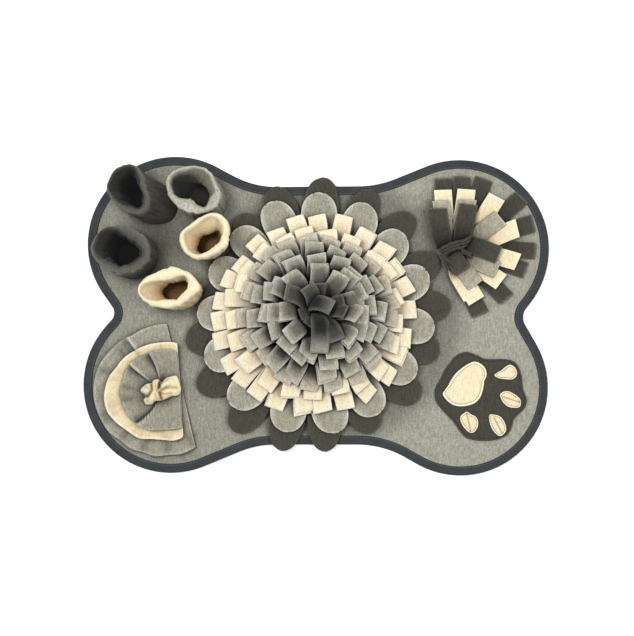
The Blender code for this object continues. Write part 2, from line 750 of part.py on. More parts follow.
def main():
    clear_scene()
    build_panel()
    build_binding()
    petal_z = PANEL_TOP + GAP
    build_petals("petals_charcoal", "charcoal", CHARCOAL_PETALS, petal_z, CHARCOAL_PETAL_RISE)
    petal_z += PETAL_CLOTH + 2 * GAP
    build_petals("petals_grey", "grey", GREY_PETALS, petal_z, GREY_PETAL_RISE)
    for ring_index, row in enumerate(FRINGE_RINGS):
        build_fringe_ring(row, ring_index)
    build_crown()
    build_tuft()
    for row in POUCHES:
        build_pouch(row)
    for row in CORNER_LAYERS:
        build_corner_layer(row)
    knot_bottom = PANEL_TOP + GAP + 4 * (CORNER_STRIP_THICK + GAP)
    build_lumps("corner_knot", "charcoal", CORNER, knot_bottom, KNOT_LUMPS)
    for layer in range(len(RUFFLE_LAYERS)):
        build_ruffle(layer)
    bow_bottom = ruffle_underside(len(RUFFLE_LAYERS) - 1, 140, 19) * MM + RUFFLE_CLOTH + 2 * GAP
    build_lumps("ruffle_bow", "cream", BOW_AT, bow_bottom, BOW_LUMPS)
    build_paw()


main()
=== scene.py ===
"""Looks of a bone-shaped snuffle mat: fleece base, bound edge, fringed flower, pouches, corner
fringe, layered ruffle and paw patch. Metres, +Z up; tables are in millimetres and degrees.
"""

import math
import random

import bmesh
import bpy
from bpy.props import FloatProperty, FloatVectorProperty, IntProperty, PointerProperty
from mathutils import Matrix, Vector, noise


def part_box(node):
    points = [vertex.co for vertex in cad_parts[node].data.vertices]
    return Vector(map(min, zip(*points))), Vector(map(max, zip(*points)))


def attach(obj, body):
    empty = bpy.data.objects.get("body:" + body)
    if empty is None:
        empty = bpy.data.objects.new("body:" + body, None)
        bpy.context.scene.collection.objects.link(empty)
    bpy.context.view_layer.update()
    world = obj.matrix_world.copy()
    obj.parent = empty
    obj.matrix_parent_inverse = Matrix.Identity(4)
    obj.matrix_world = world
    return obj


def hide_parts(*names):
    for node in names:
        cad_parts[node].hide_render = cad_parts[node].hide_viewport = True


bl_info = {
    "name": "Snuffle mat",
    "version": (1, 0, 0),
    "blender": (4, 5, 0),
    "location": "View3D > Sidebar > Snuffle mat",
    "description": "Builds the cloth pieces of a bone-shaped snuffle mat",
    "category": "Object",
}

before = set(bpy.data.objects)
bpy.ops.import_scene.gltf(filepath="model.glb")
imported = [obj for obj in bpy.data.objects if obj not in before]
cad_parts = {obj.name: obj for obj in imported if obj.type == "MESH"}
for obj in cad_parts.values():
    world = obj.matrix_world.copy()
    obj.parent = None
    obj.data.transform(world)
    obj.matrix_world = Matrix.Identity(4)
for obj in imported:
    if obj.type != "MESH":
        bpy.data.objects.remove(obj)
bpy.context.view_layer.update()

MM = 0.001
PIECES = "snuffle_mat_pieces"

# ---- tables ----
# The outline is a belt laid round these circles, anticlockwise: x, y, radius, and 1 where the
# belt goes round the outside of a lobe, or -1 where it bends into a hollow.
OUTLINE_CIRCLES = (
    (216, 101, 134, 1),
    (62, 345, 150, -1),
    (-60, 334, 140, -1),
    (-214, 108, 132, 1),
    (-321, 3, 16, -1),
    (-218, -104, 132, 1),
    (-62, -334, 140, -1),
    (60, -338, 144, -1),
    (214, -108, 132, 1),
    (332, -4, 22, -1),
)
OUTLINE_STEP = math.radians(3)

FLOWER = Vector((-4, 2, 0)) * MM
# angle, reach from the flower's middle
CHARCOAL_PETALS = (
    (3.5, 205), (23, 206), (46.5, 211), (65, 208), (86.5, 207), (107, 202), (127, 188),
    (148, 160), (170, 168), (192, 198), (215, 209), (236, 214), (256, 212), (275.5, 208),
    (296, 198), (319, 202), (342, 196),
)
GREY_PETALS = (
    (17, 182), (40, 181), (63, 184), (87, 183), (110.5, 181), (132.5, 174), (156, 172),
    (180, 176), (203.5, 179), (230, 186), (255, 183), (278.5, 182), (302, 179), (327.5, 179),
    (353, 182),
)
PETAL_ROOT = 100
PETAL_WIDTH = 55

# name, cloth, root radius, control radius and height, tip radius and height, root width, how
# much the cloth is tinted towards the cream beside it, and the strips as rows of angle, reach
# and turn from the way out
FRINGE_RINGS = (
    ("fringe_cream_low", "cream", 92, 108, 42, 150, 18, 17, 0.0,
     ((2, 151, 3), (17, 150, 15), (29, 148, 10), (43, 150, 13), (57, 148, 6), (73, 152, 6),
      (89, 145, 11), (102, 146, 7), (116, 136, -4), (131, 143, 4), (147, 138, -5),
      (159, 146, -1), (173, 151, -4), (185, 154, 3), (196, 157, -7), (211, 158, -3),
      (223, 155, 12), (234, 154, -2), (247, 155, 5), (264, 152, 13), (275, 148, 8),
      (288, 150, -4), (304, 151, 17), (320, 152, 11), (334, 151, 6), (345, 148, 13))),
    ("fringe_cream_high", "cream", 80, 92, 60, 129, 33, 17, 0.0,
     ((11, 127, 18), (30, 131, 9), (43, 126, 15), (64, 123, 7), (82, 122, 12), (99, 124, 4),
      (114, 120, 9), (133, 125, 10), (148, 126, -11), (160, 126, 6), (171, 135, 5),
      (186, 132, 4), (200, 135, -4), (217, 137, -1), (236, 135, 1), (253, 133, 10),
      (268, 129, 4), (287, 126, -6), (302, 133, 5), (318, 136, 6), (338, 133, 9),
      (352, 129, 6))),
    ("fringe_grey_1", "grey", 69, 80, 69, 116, 46, 16, 0.6,
     ((8, 118, 19), (20, 113, -5), (40, 111, 6), (60, 110, 6), (78, 108, -11), (98, 111, 5),
      (115, 114, -6), (131, 113, 10), (148, 112, 0), (165, 113, -4), (186, 119, -4),
      (205, 117, 6), (221, 109, -2), (243, 116, -5), (264, 117, -6), (282, 121, 2),
      (301, 122, -8), (318, 118, -2), (337, 120, 6), (354, 117, -4))),
    ("fringe_grey_2", "grey", 58, 67, 77, 101, 57, 15, 0.12,
     ((24, 96, 12), (50, 95, 1), (72, 91, -7), (94, 97, -4), (123, 100, -7), (142, 103, -1),
      (167, 98, 2), (188, 104, -8), (208, 103, 4), (230, 108, -6), (249, 110, -10),
      (278, 107, 4), (299, 107, 1), (318, 106, -1), (338, 103, -7), (357, 99, -12))),
    ("fringe_grey_3", "grey", 47, 54, 82, 85, 66, 15, 0.0,
     ((3, 82, 4), (26, 80, 4), (45, 72, 3), (66, 78, 8), (95, 77, 4), (120, 83, -9),
      (163, 84, 12), (185, 87, -25), (206, 80, -13), (228, 80, 2), (245, 83, -18),
      (279, 91, -1), (308, 91, 5), (334, 88, 3))),
    ("fringe_grey_4", "grey", 36, 42, 86, 70, 73, 14, 0.0,
     ((154, 77, 8), (186, 77, -8), (254, 78, -13), (287, 78, -10), (315, 70, 4),
      (330, 76, 14), (350, 72, 5), (47, 67, 6), (22, 70, 5))),
    ("fringe_grey_5", "grey", 25, 30, 89, 54, 78, 12, 0.15,
     ((11, 65, -2), (58, 57, 11), (91, 64, 1), (133, 67, -6), (187, 66, 2), (223, 65, -6),
      (347, 58, -25))),
)
# heading, turn at the tip, control and tip as distance and height, sideways shift, width, roll,
# how pale the tip is
CROWN_STRIPS = (
    (14, 0, (14, 86), (33, 78), 0, 20, 0, 0.0),
    (94, 0, (14, 86), (32, 79), 0, 18, 0, 0.0),
    (159, 11, (15, 90), (56, 80), 0, 25, 5, 0.1),
    (200, 0, (12, 74), (30, 66), 0, 18, 0, 0.0),
    (238, 0, (12, 74), (30, 66), 0, 20, 4, 0.0),
    (294, -3, (15, 91), (54, 80), 0, 24, -4, 0.1),
    (344, -10, (15, 88), (35, 80), 0, 21, 0, 0.0),
    (132, -10, (9, 94), (35, 86), 0, 23, -6, 0.15),
    (267, 0, (4, 97), (67, 78), 0, 27, 0, 1.0),
)
# the short folded piece in the crown's middle, in the same columns
TUFT_STRIPS = (
    (-22, -4, (-30, 103), (13, 87), 0, 23, 6, 0.35),
)
CROWN_ROOT_Z = 14
CROWN_ROOT_WIDTH = 9 * MM
# The flower leans: a strip that is this high has moved by this much.
CROWN_LEAN = Vector((11, 7, 0)) * MM
CROWN_HEIGHT = 80 * MM

# name, cloth, height, the side where the painted shade inside is darkest, and the base's x, y,
# half sizes and turn of the long side; then rim, opening and throat (where the cloth inside folds
# in half way down), each as x, y and its reach at each 20 degrees
POUCHES = (
    ("pouch_charcoal_back", "charcoal", 58, -20, (-251, 171, 41, 32, -28),
     (-273, 177, (25, 23, 25, 32, 40, 41, 40, 38, 36, 34, 30, 28, 28, 30, 33, 36, 35, 30)),
     (-273, 177, (18, 16, 17, 24, 35, 37, 36, 34, 32, 29, 25, 22, 21, 22, 24, 28, 25, 21)),
     (-275, 180, (15, 13, 13, 16, 24, 22, 21, 21, 18, 17, 15, 15, 16, 18, 21, 23, 20, 17))),
    ("pouch_grey", "grey", 57, 200, (-170, 172, 34, 33, 0),
     (-178, 180, (35, 32, 32, 35, 36, 37, 40, 44, 44, 41, 38, 35, 34, 34, 35, 37, 39, 38)),
     (-178, 180, (26, 26, 27, 29, 31, 31, 33, 38, 37, 33, 28, 19, 14, 16, 22, 28, 25, 25)),
     (-184, 179, (23, 21, 18, 17, 17, 19, 22, 24, 23, 21, 19, 11, 8, 9, 12, 22, 26, 24))),
    ("pouch_charcoal_side", "charcoal", 56, -40, (-277, 89, 38, 35, 0),
     (-286, 92, (42, 40, 38, 37, 37, 37, 40, 42, 44, 45, 40, 35, 33, 34, 34, 36, 39, 42)),
     (-286, 92, (31, 25, 22, 21, 23, 29, 35, 39, 38, 38, 32, 26, 23, 24, 23, 24, 27, 30)),
     (-288, 95, (24, 19, 16, 17, 18, 23, 26, 25, 24, 22, 22, 22, 22, 23, 21, 22, 23, 25))),
    ("pouch_cream_inner", "cream", 56, 180, (-165, 108, 28, 25, 0),
     (-160, 108, (31, 33, 39, 42, 40, 35, 33, 35, 39, 41, 39, 37, 34, 29, 25, 24, 26, 30)),
     (-160, 108, (19, 23, 28, 33, 33, 28, 25, 27, 32, 33, 31, 30, 26, 20, 16, 14, 15, 17)),
     (-158, 107, (13, 17, 20, 20, 13, 11, 12, 14, 15, 16, 19, 23, 21, 14, 10, 9, 9, 11))),
    ("pouch_cream_front", "cream", 53, 180, (-209, 34, 37, 27, 8),
     (-214, 38, (44, 38, 34, 31, 30, 29, 29, 31, 39, 48, 46, 40, 34, 31, 29, 29, 30, 34)),
     (-214, 38, (25, 27, 25, 17, 11, 11, 12, 14, 23, 42, 41, 30, 21, 18, 18, 19, 18, 20)),
     (-209, 38, (20, 20, 18, 12, 9, 8, 9, 11, 13, 18, 20, 20, 19, 18, 17, 17, 16, 18))),
)

CORNER = Vector((210, 97, 0)) * MM
# name, cloth, height of the strips at the root and the tip, root width, and each strip's root
# and tip as x, y, x, y, and its turn at the tip
CORNER_LAYERS = (
    ("corner_charcoal_long", "charcoal", 4.9, 6.6, 14,
     ((-20, 12, -21, 109, 4), (-1, 19, 8, 112, 3), (9, 22, 42, 109, 2), (21, 16, 98, 82, 4),
      (21, 9, 117, 38, -6), (18, 4, 118, -3, -4), (15, -2, 103, -32, -4), (6, -8, 72, -76, -8),
      (-6, -17, 34, -97, -4))),
    ("corner_cream", "cream", 8.2, 10.6, 14,
     ((-14, 11, -19, 91, -3), (3, 19, 13, 92, 6), (15, 11, 59, 82, 5), (21, 1, 93, 29, -12),
      (21, -2, 90, -22, -12), (10, -11, 65, -49, -4), (-7, -18, 29, -76, 0),
      (-9, -18, 22, -70, 4))),
    ("corner_grey", "grey", 11.5, 14.6, 15,
     ((-15, 11, -22, 74, -5), (2, 18, 13, 76, 10), (14, 11, 65, 49, 3), (15, -11, 59, -31, -3),
      (2, -18, 27, -53, 0))),
    ("corner_charcoal_short", "charcoal", 15.2, 18.4, 23,
     ((-20, 3, -27, 62, -8), (5, 13, 16, 68, 5), (16, 9, 61, -9, -4), (-8, -8, 7, -32, 0))),
)
# folds of the knot as x, y and height at both ends and radius
KNOT_ROLLS = (
    (-28, -1, 6, 4, 12, 9.5, 2.9),
    (2, 10, 9.5, 21, 21, 6.5, 2.7),
    (-27, -5, 5, 6, 8, 9, 2.7),
    (4, 7, 8.5, 19, 15, 6, 2.5),
    (-26, -9.5, 3.5, 3, 3, 7.5, 2.8),
    (-3, 1, 6, 15, 9, 5, 2.6),
    (-19, 0, 3, 11, 13, 7, 3.2),
    (-23, -3, 3, -14, -18, 3, 2.6),
    (-17, -14, 3, -4, -30, 2, 2.2),
    (-20, -14, 2.5, -12, -31, 1.5, 2.0),
    (5, -3, 1.5, 21, -12, 1.0, 3.4),
    (4, 1, 1.5, 22, -7, 1.5, 3.6),
)

RUFFLE = Vector((-235, -110, 0)) * MM
# name, cloth, straight side x and its slant, rise at the hem, the hem as rows of angle and
# reach, and pleats as rows of angle at the hem, angle in the middle, width towards smaller and
# larger angles, height and the share of the way out where they begin
RUFFLE_LAYERS = (
    ("ruffle_grey_wide", "grey", 33, 0.24, 3.2,
     ((60, 97), (85, 97), (98, 94), (122, 88), (123, 92), (127, 92), (145, 93), (159, 97),
      (186, 99), (221, 99), (234, 97), (248, 99), (257, 98), (266, 101), (277, 100),
      (290, 103), (330, 104)),
     ((122, 116, 26, 3, 5.0, 0.4), (184, 184, 34, 26, 2.6, 0.4), (150, 150, 12, 14, 2.2, 0.5),
      (222, 222, 16, 10, 2.2, 0.5), (245, 245, 8, 9, 3.6, 0.6), (267, 267, 10, 9, 5.0, 0.55),
      (289, 289, 9, 14, 4.2, 0.6))),
    ("ruffle_cream", "cream", 31, 0.07, 3.0,
     ((60, 72), (72, 72), (90, 68), (106, 67), (124, 67), (136, 69), (154, 71), (168, 77),
      (180, 79), (192, 83), (204, 85), (211, 83), (228, 78), (242, 79), (249, 80), (264, 75),
      (276, 77), (287, 81), (330, 82)),
     ((104, 104, 18, 16, 2.5, 0.4), (140, 140, 20, 22, 3.0, 0.4), (185, 185, 16, 16, 4.4, 0.5),
      (226, 226, 17, 18, 3.6, 0.5), (262, 262, 13, 13, 3.4, 0.5), (292, 292, 12, 14, 2.6, 0.5))),
    ("ruffle_grey_top", "grey", 30, 0.07, 2.0,
     ((60, 60), (72, 60), (90, 57), (102, 55), (118, 54), (136, 56), (151, 56), (167, 55),
      (187, 57), (210, 59), (242, 62), (258, 63), (278, 61), (300, 68), (330, 68)),
     ((104, 84, 30, 3, 6.5, 0.2), (138, 142, 26, 3, 6.0, 0.25), (241, 276, 4, 70, 7.5, 0.25),
      (186, 204, 12, 7, 2.0, 0.3))),
)
BOW_AT = Vector((-236, -110, 0)) * MM
BOW_MIDDLE = (-3, -4)
BOW_OUTLINE = (
    (-26, -3), (-18, 6), (-10, 8), (-7, 12), (0, 13.5), (4.5, 9.5), (7.5, 9.5), (12, 15),
    (20, 18), (28, 18), (32.5, 6), (34, -3), (30, -10), (19.5, -12), (7.5, -17.5), (-4, -19),
    (-8.5, -23.5), (-17.5, -24), (-21, -17.5), (-19, -12),
)
# its rings from the bottom up: share of the way out, height, how pale (a painted highlight round
# its rim)
BOW_SECTIONS = (
    (0.8, 0.0, 0.0), (0.95, 1.5, 0.0), (1.0, 4.0, 0.8), (0.985, 6.0, 0.9), (0.94, 7.8, 0.4),
    (0.86, 9.6, 0.0), (0.76, 11.2, 0.0), (0.66, 12.4, 0.0), (0.55, 13.2, 0.0),
    (0.44, 13.6, 0.0), (0.33, 13.8, 0.0), (0.22, 13.9, 0.0), (0.11, 13.9, 0.0),
)
BOW_SWELLS = ((8, 3, 1.5),)
# its folds as x, y, x, y, width and depth
BOW_CREASES = (
    (4, 12, 2, 0, 2.2, 6.0), (2, 0, 6, -17, 2.0, 5.0), (-10, 9, -8, -2, 1.8, 4.0),
    (-8, -2, -14, -12, 1.8, 4.0), (-14, -12, -27, -8, 2.0, 5.0), (5, -3, 14, 2, 1.8, 3.0),
    (14, 2, 29, 1, 1.6, 2.4), (8, 9, 16, 14, 1.5, 1.8), (9, -9, 22, -7, 1.5, 1.8),
    (-13, 0, -20, 4, 1.3, 1.6), (-12, -16, -17, -21, 1.3, 1.6), (-3, 8, -2, -2, 1.1, 1.5),
    (-3, -8, -1, -16, 1.1, 1.5),
)

PAW = Vector((248, -119, 0)) * MM
PAW_PATCH = (
    (-24, 63), (-10, 59), (5, 52.5), (27, 52.5), (42, 51), (52, 44), (58, 28), (60, 9),
    (65.5, -8), (62, -21), (47, -36), (42, -50), (35, -61), (18, -68), (-6, -69), (-24, -65),
    (-35, -54), (-43, -42), (-58, -26), (-69, -12), (-71.5, 1), (-69, 12), (-63, 22),
    (-58, 33), (-49, 46), (-38, 58),
)
PAW_MAIN_PAD = (
    (-11, 48.5), (-3, 45.5), (4, 38), (5.5, 28), (2, 20), (1, 12), (-3, -2), (-11, -12),
    (-22, -16.5), (-34, -18), (-45, -15.5), (-54, -9), (-60, 0), (-57, 6), (-52, 13),
    (-47, 22), (-40, 31.5), (-28, 41.5), (-18, 47),
)
# outline of each toe, and its fold as x, y, x, y
PAW_TOES = (
    (((41, 44), (48, 40), (51, 33), (50, 27), (44, 22.5), (34, 22.5), (24, 24), (17.5, 28),
      (21, 32), (28, 36), (34, 41)), (44, 33, 44, 33)),
    (((25.5, -1.5), (30, 3.5), (38, 4.5), (47, 0), (54.5, -6), (56.5, -13), (54, -19),
      (44, -20), (36, -17.5), (29.5, -11)), (30, -4, 56, -12)),
    (((9.5, -31), (17, -30.5), (25, -33), (31, -40), (34, -49), (33, -56), (26, -62),
      (19, -59), (13, -51), (9.5, -41)), (16, -35, 29, -60)),
    (((-24, -26), (-18, -30), (-11, -33.5), (-7.5, -41), (-9, -50), (-14, -56.5), (-21, -56.5),
      (-29, -49), (-34, -39), (-33, -32), (-28, -28)), (-25, -27, -19, -56)),
)


# ---- settings ----
def srgb_values(hexadecimal):
    return [int(hexadecimal[i : i + 2], 16) / 255 for i in (0, 2, 4)]


def colour_property(name, description, hexadecimal):
    return FloatVectorProperty(
        name=name, description=description, subtype="COLOR_GAMMA", size=3, min=0, max=1,
        default=srgb_values(hexadecimal),
    )


def length_property(name, description, millimetres):
    return FloatProperty(
        name=name, description=description, default=millimetres * MM, unit="LENGTH"
    )


class ClothColours(bpy.types.PropertyGroup):
    """sRGB colours of the cloths."""

    mat: colour_property("Mat", "Base cloth", "969588")
    grey: colour_property("Grey", "Mid grey fleece", "979485")
    charcoal: colour_property("Charcoal", "Dark fleece", "424037")
    cream: colour_property("Cream", "Cream fleece", "E6D8B3")
    binding: colour_property("Binding", "Edge tape", "34383A")


class MatSizes(bpy.types.PropertyGroup):
    """Binding and its stitches."""

    binding_width: length_property("Binding width", "Face of the folded tape", 13.5)
    stitch_length: length_property("Stitch length", "Length of a stitch", 3.2)
    stitch_pitch: length_property("Stitch pitch", "From stitch to stitch", 4.4)


class StripSizes(bpy.types.PropertyGroup):
    """Cut fleece strips."""

    width: length_property("Strip width", "Cut width of a strip", 27.5)
    fold: length_property("Strip thickness", "Thickness of a strip folded lengthwise", 5.0)
    unruliness: FloatProperty(
        name="Unruliness", description="How far strips stray from even spacing", default=1.0,
        min=0, max=2,
    )
    seed: IntProperty(name="Seed", description="Varies the strips", default=4)


# ---- materials ----
def linear_colour(colour):
    """An sRGB colour, given in hex or as values, as linear red, green, blue and alpha."""
    values = srgb_values(colour) if isinstance(colour, str) else colour
    return [v / 12.92 if v <= 0.04045 else ((v + 0.055) / 1.055) ** 2.4 for v in values] + [1.0]


def add_node(tree, kind, **values):
    """Adds a node. A value is a socket that feeds an input, or what an input or a property of the
    node is set to. Inputs go by name, with _ for a space, or by number, such as i0."""
    node = tree.nodes.new(kind)
    for key, value in values.items():
        name = int(key[1:]) if key[1:].isdigit() else key.replace("_", " ")
        if isinstance(name, str) and name not in node.inputs:
            setattr(node, key, value)
        elif isinstance(value, bpy.types.NodeSocket):
            tree.links.new(value, node.inputs[name])
        else:
            node.inputs[name].default_value = value
    return node


def new_material(name):
    material = bpy.data.materials.get(name)
    if material:
        return material, None
    material = bpy.data.materials.new(name)
    material.use_nodes = True
    return material, material.node_tree


def finish_shader(tree, colour, shades, relief=None, **settings):
    """Shades the colour and sets the shader's own sockets. Each shade is a socket, the range that
    it is read over and what its two ends leave of the colour. Relief is a height, its strength
    and how far it rises."""
    product = None
    for value, low, high, left_low, left_high in shades:
        shade = add_node(tree, "ShaderNodeMapRange", Value=value, From_Min=low, From_Max=high,
                         To_Min=left_low, To_Max=left_high).outputs["Result"]
        if product is not None:
            shade = add_node(tree, "ShaderNodeMath", operation="MULTIPLY", i0=product,
                             i1=shade).outputs["Value"]
        product = shade
    final = add_node(tree, "ShaderNodeMix", data_type="RGBA", blend_type="MULTIPLY", Factor=1.0,
                     i6=colour, i7=product)
    shader = tree.nodes["Principled BSDF"]
    tree.links.new(final.outputs[2], shader.inputs["Base Color"])
    if relief:
        height, strength, rise = relief
        bump = add_node(tree, "ShaderNodeBump", Height=height, Strength=strength, Distance=rise)
        tree.links.new(bump.outputs["Normal"], shader.inputs["Normal"])
    for name, value in settings.items():
        shader.inputs[name.replace("_", " ")].default_value = value


# cloth: its paler edge, partly the cut cloth and partly a painted highlight; its painted shade in
# folds, gaps and undersides; and the colour that some of its strips are tinted to, for the cream a
# painted shade on pouch floors and strip roots
FLEECE_TONES = {
    "mat": ("BDBDB0", "5A5A50", "979789"),
    "grey": ("D8D5C8", "2E2D27", "C6B69C"),
    "charcoal": ("7E7D74", "121211", "8F8E85"),
    "cream": ("FAF2D8", "91663E", "645434"),
}
# how far off another piece still takes light from the cloth, and what is left right beside it
CONTACT_SHADE = {"mat": (26 * MM, 0.36), "grey": (15 * MM, 0.06), "charcoal": (10 * MM, 0.15),
                 "cream": (10 * MM, 0.25)}
# The flower keeps light from the base cloth to its right, the pouches from the cloth between
# them, and the corner's strips from the cloth to their left: middle of the shade, how far it
# stays full and where it ends, and what light is left.
MAT_SHADES = (
    (FLOWER + Vector((26, 8, 0)) * MM, 185 * MM, 215 * MM, 0.6),
    (Vector((-238, 112, 0)) * MM, 8 * MM, 75 * MM, 0.4),
    (Vector((170, 163, 0)) * MM, 6 * MM, 30 * MM, 0.72),
)
# size in millimetres, detail, roughness and strength of the pile's clumps, of its fibres and of
# the nap that lies along the cloth; single fibres are too fine to show, and are drawn 1.8 mm wide
PILE = ((6.0, 5.0, 0.65, 0.08), (1.8, 3.0, 0.7, 0.32), (2.4, 3.0, 0.6, 0.2))
NAP_STRETCH = (1.0, 0.22, 1.0)
# how strongly the pile shows on a cloth, where it isn't 1
PILE_CONTRAST = {"cream": 0.5, "grey": 1.1}
# nearly all values of a noise lie between these
NOISE_RANGE = (0.3, 0.7)
# A painted shade: the base cloth grows a little darker to the left, from x to x and from light to
# light.
MAT_FALL = (-120 * MM, 200 * MM, 0.89, 1.05)


def fleece(key):
    """Anti-pill polyester fleece, knitted, brushed and sheared: no gloss, a faint fuzz of sheen
    and a mottle of small clumps of pile. Edges are paler, partly the cut cloth and partly a painted
    highlight, and a painted shade darkens folds, gaps and undersides."""
    material, tree = new_material("brushed_fleece_" + key)
    if tree is None:
        return material
    pale, deep, tinted = FLEECE_TONES[key]
    loud = PILE_CONTRAST.get(key, 1.0)
    place = add_node(tree, "ShaderNodeTexCoord").outputs["Object"]
    nap = add_node(tree, "ShaderNodeMapping", Scale=NAP_STRETCH, Vector=place).outputs["Vector"]
    patterns, shades = [], []
    for (size, detail, rough, strength), where in zip(PILE, (place, place, nap)):
        pattern = add_node(tree, "ShaderNodeTexNoise", Scale=1 / (size * MM), Detail=detail,
                           Roughness=rough, Vector=where).outputs["Fac"]
        patterns.append(pattern)
        shades.append((pattern, *NOISE_RANGE, 1 - strength * loud, 1 + strength * loud))
    # A painted shade on the base cloth: darker to the left, and in the spots of MAT_SHADES.
    if key == "mat":
        across = add_node(tree, "ShaderNodeSeparateXYZ", Vector=place).outputs["X"]
        shades.append((across, *MAT_FALL))
        for middle, near, far, left in MAT_SHADES:
            away = add_node(tree, "ShaderNodeVectorMath", operation="DISTANCE", i0=place,
                            i1=middle).outputs["Value"]
            shades.append((away, near, far, left, 1.0))
    # A painted shade: the cloth is darkened where another piece lies close.
    reach, left = CONTACT_SHADE[key]
    close = add_node(tree, "ShaderNodeAmbientOcclusion", Distance=reach, samples=8)
    shades.append((close.outputs["AO"], 0.2, 0.95, left, 1.0))
    colour = linear_colour(getattr(bpy.context.scene.snuffle_cloth_colours, key))
    # Mixes in the tint, the painted shade and the paler edges, which are partly a painted
    # highlight.
    for name, other in (("tint", tinted), ("depth", deep), ("edge", pale)):
        amount = add_node(tree, "ShaderNodeAttribute", attribute_name=name).outputs["Fac"]
        colour = add_node(tree, "ShaderNodeMix", data_type="RGBA", Factor=amount, i6=colour,
                          i7=linear_colour(other)).outputs[2]
    height = add_node(tree, "ShaderNodeMath", operation="ADD", i0=patterns[0], i1=patterns[1])
    finish_shader(tree, colour, shades, (height.outputs["Value"], 0.7, 1 * MM), Roughness=0.95,
                  Specular_IOR_Level=0.15, Sheen_Weight=0.1, Sheen_Roughness=0.6)
    return material


def woven_tape():
    """Twill polyester binding tape, woven flat: matt, with a fine rib across its width."""
    material, tree = new_material("woven_polyester_tape")
    if tree is None:
        return material
    place = add_node(tree, "ShaderNodeTexCoord").outputs["Object"]
    # The weave has a thread each 0.4 mm and is drawn at 1.6 mm, so that it shows.
    ribs = add_node(tree, "ShaderNodeTexWave", Scale=0.5 / (1.6 * MM) / math.tau,
                    bands_direction="DIAGONAL", Distortion=1.5, Detail=2.0, Vector=place)
    cloud = add_node(tree, "ShaderNodeTexNoise", Scale=1 / (12 * MM), Detail=5.0, Vector=place)
    finish_shader(tree, linear_colour(bpy.context.scene.snuffle_cloth_colours.binding),
                  [(cloud.outputs["Fac"], *NOISE_RANGE, 0.85, 1.2)],
                  (ribs.outputs["Fac"], 0.35, 0.3 * MM), Roughness=0.8, Specular_IOR_Level=0.25)
    return material


def sewing_thread(name, hexadecimal):
    """Spun polyester thread, twisted: a little smoother than the cloth round it."""
    material, tree = new_material("spun_thread_" + name)
    if tree is None:
        return material
    place = add_node(tree, "ShaderNodeTexCoord").outputs["Object"]
    # A twist is 0.4 mm long and is drawn at 0.8 mm, so that it shows.
    twist = add_node(tree, "ShaderNodeTexNoise", Scale=1 / (0.8 * MM), Detail=2.0, Vector=place)
    finish_shader(tree, linear_colour(hexadecimal),
                  [(twist.outputs["Fac"], *NOISE_RANGE, 0.8, 1.15)], Roughness=0.6)
    return material


# ---- shared shapes ----
UP = Vector((0, 0, 1))
CURVE_STEPS = 6  # points of a smooth path from one of its given points to the next


def smooth_step(t):
    t = min(1.0, max(0.0, t))
    return t * t * (3 - 2 * t)


def turned(x, y, degrees):
    angle = math.radians(degrees)
    cosine, sine = math.cos(angle), math.sin(angle)
    return x * cosine - y * sine, x * sine + y * cosine


def wobble(place, size, seed=0):
    """Smooth noise from -1 to 1 at a place, whose swells are about size wide."""
    return noise.noise(place / size + Vector((seed * 7.3, seed * 3.1, seed * 1.7)))


def swell(place, swells):
    """A few wobbles together, given as rows of size, seed and how far each goes."""
    return sum(far * wobble(place, size, seed) for size, seed, far in swells)


def spline(a, b, c, d, t):
    """A smooth curve through b and c, which come after a and before d."""
    return 0.5 * (2 * b + (c - a) * t + (2 * a - 5 * b + 4 * c - d) * t * t
                  + (3 * b - a - 3 * c + d) * t**3)


def round_value(values, angle):
    """A smooth value from values at even steps round the circle."""
    step = angle / 360 * len(values)
    i = math.floor(step)
    return spline(*(values[(i + k) % len(values)] for k in (-1, 0, 1, 2)), step - i)


def rounded_outline(points):
    """A closed smooth path through the points."""
    count = len(points)
    return [
        spline(*(Vector(points[(i + k) % count]) for k in (-1, 0, 1, 2)), step / CURVE_STEPS)
        for i in range(count) for step in range(CURVE_STEPS)
    ]


def flat_size(points):
    """Width, length and area of a closed path in millimetres, in metres."""
    size = [(max(p[i] for p in points) - min(p[i] for p in points)) * MM for i in (0, 1)]
    area = sum(a.cross(b) for a, b in zip(points, points[1:] + points[:1])) / 2 * MM * MM
    return size, abs(area)


def crease_depth(place, creases):
    """How deep the deepest of the folds is at a place."""
    deepest = 0.0
    for x, y, x_2, y_2, width, depth in creases:
        start, way = Vector((x, y)), Vector((x_2 - x, y_2 - y))
        along = max(0.0, min(1.0, (place - start).dot(way) / max(way.length_squared, 1e-9)))
        off = (place - start - way * along).length / width
        deepest = max(deepest, depth * math.exp(-off * off))
    return deepest


def pieces_collection():
    made = bpy.data.collections.get(PIECES)
    if made is None:
        made = bpy.data.collections.new(PIECES)
        bpy.context.scene.collection.children.link(made)
    return made


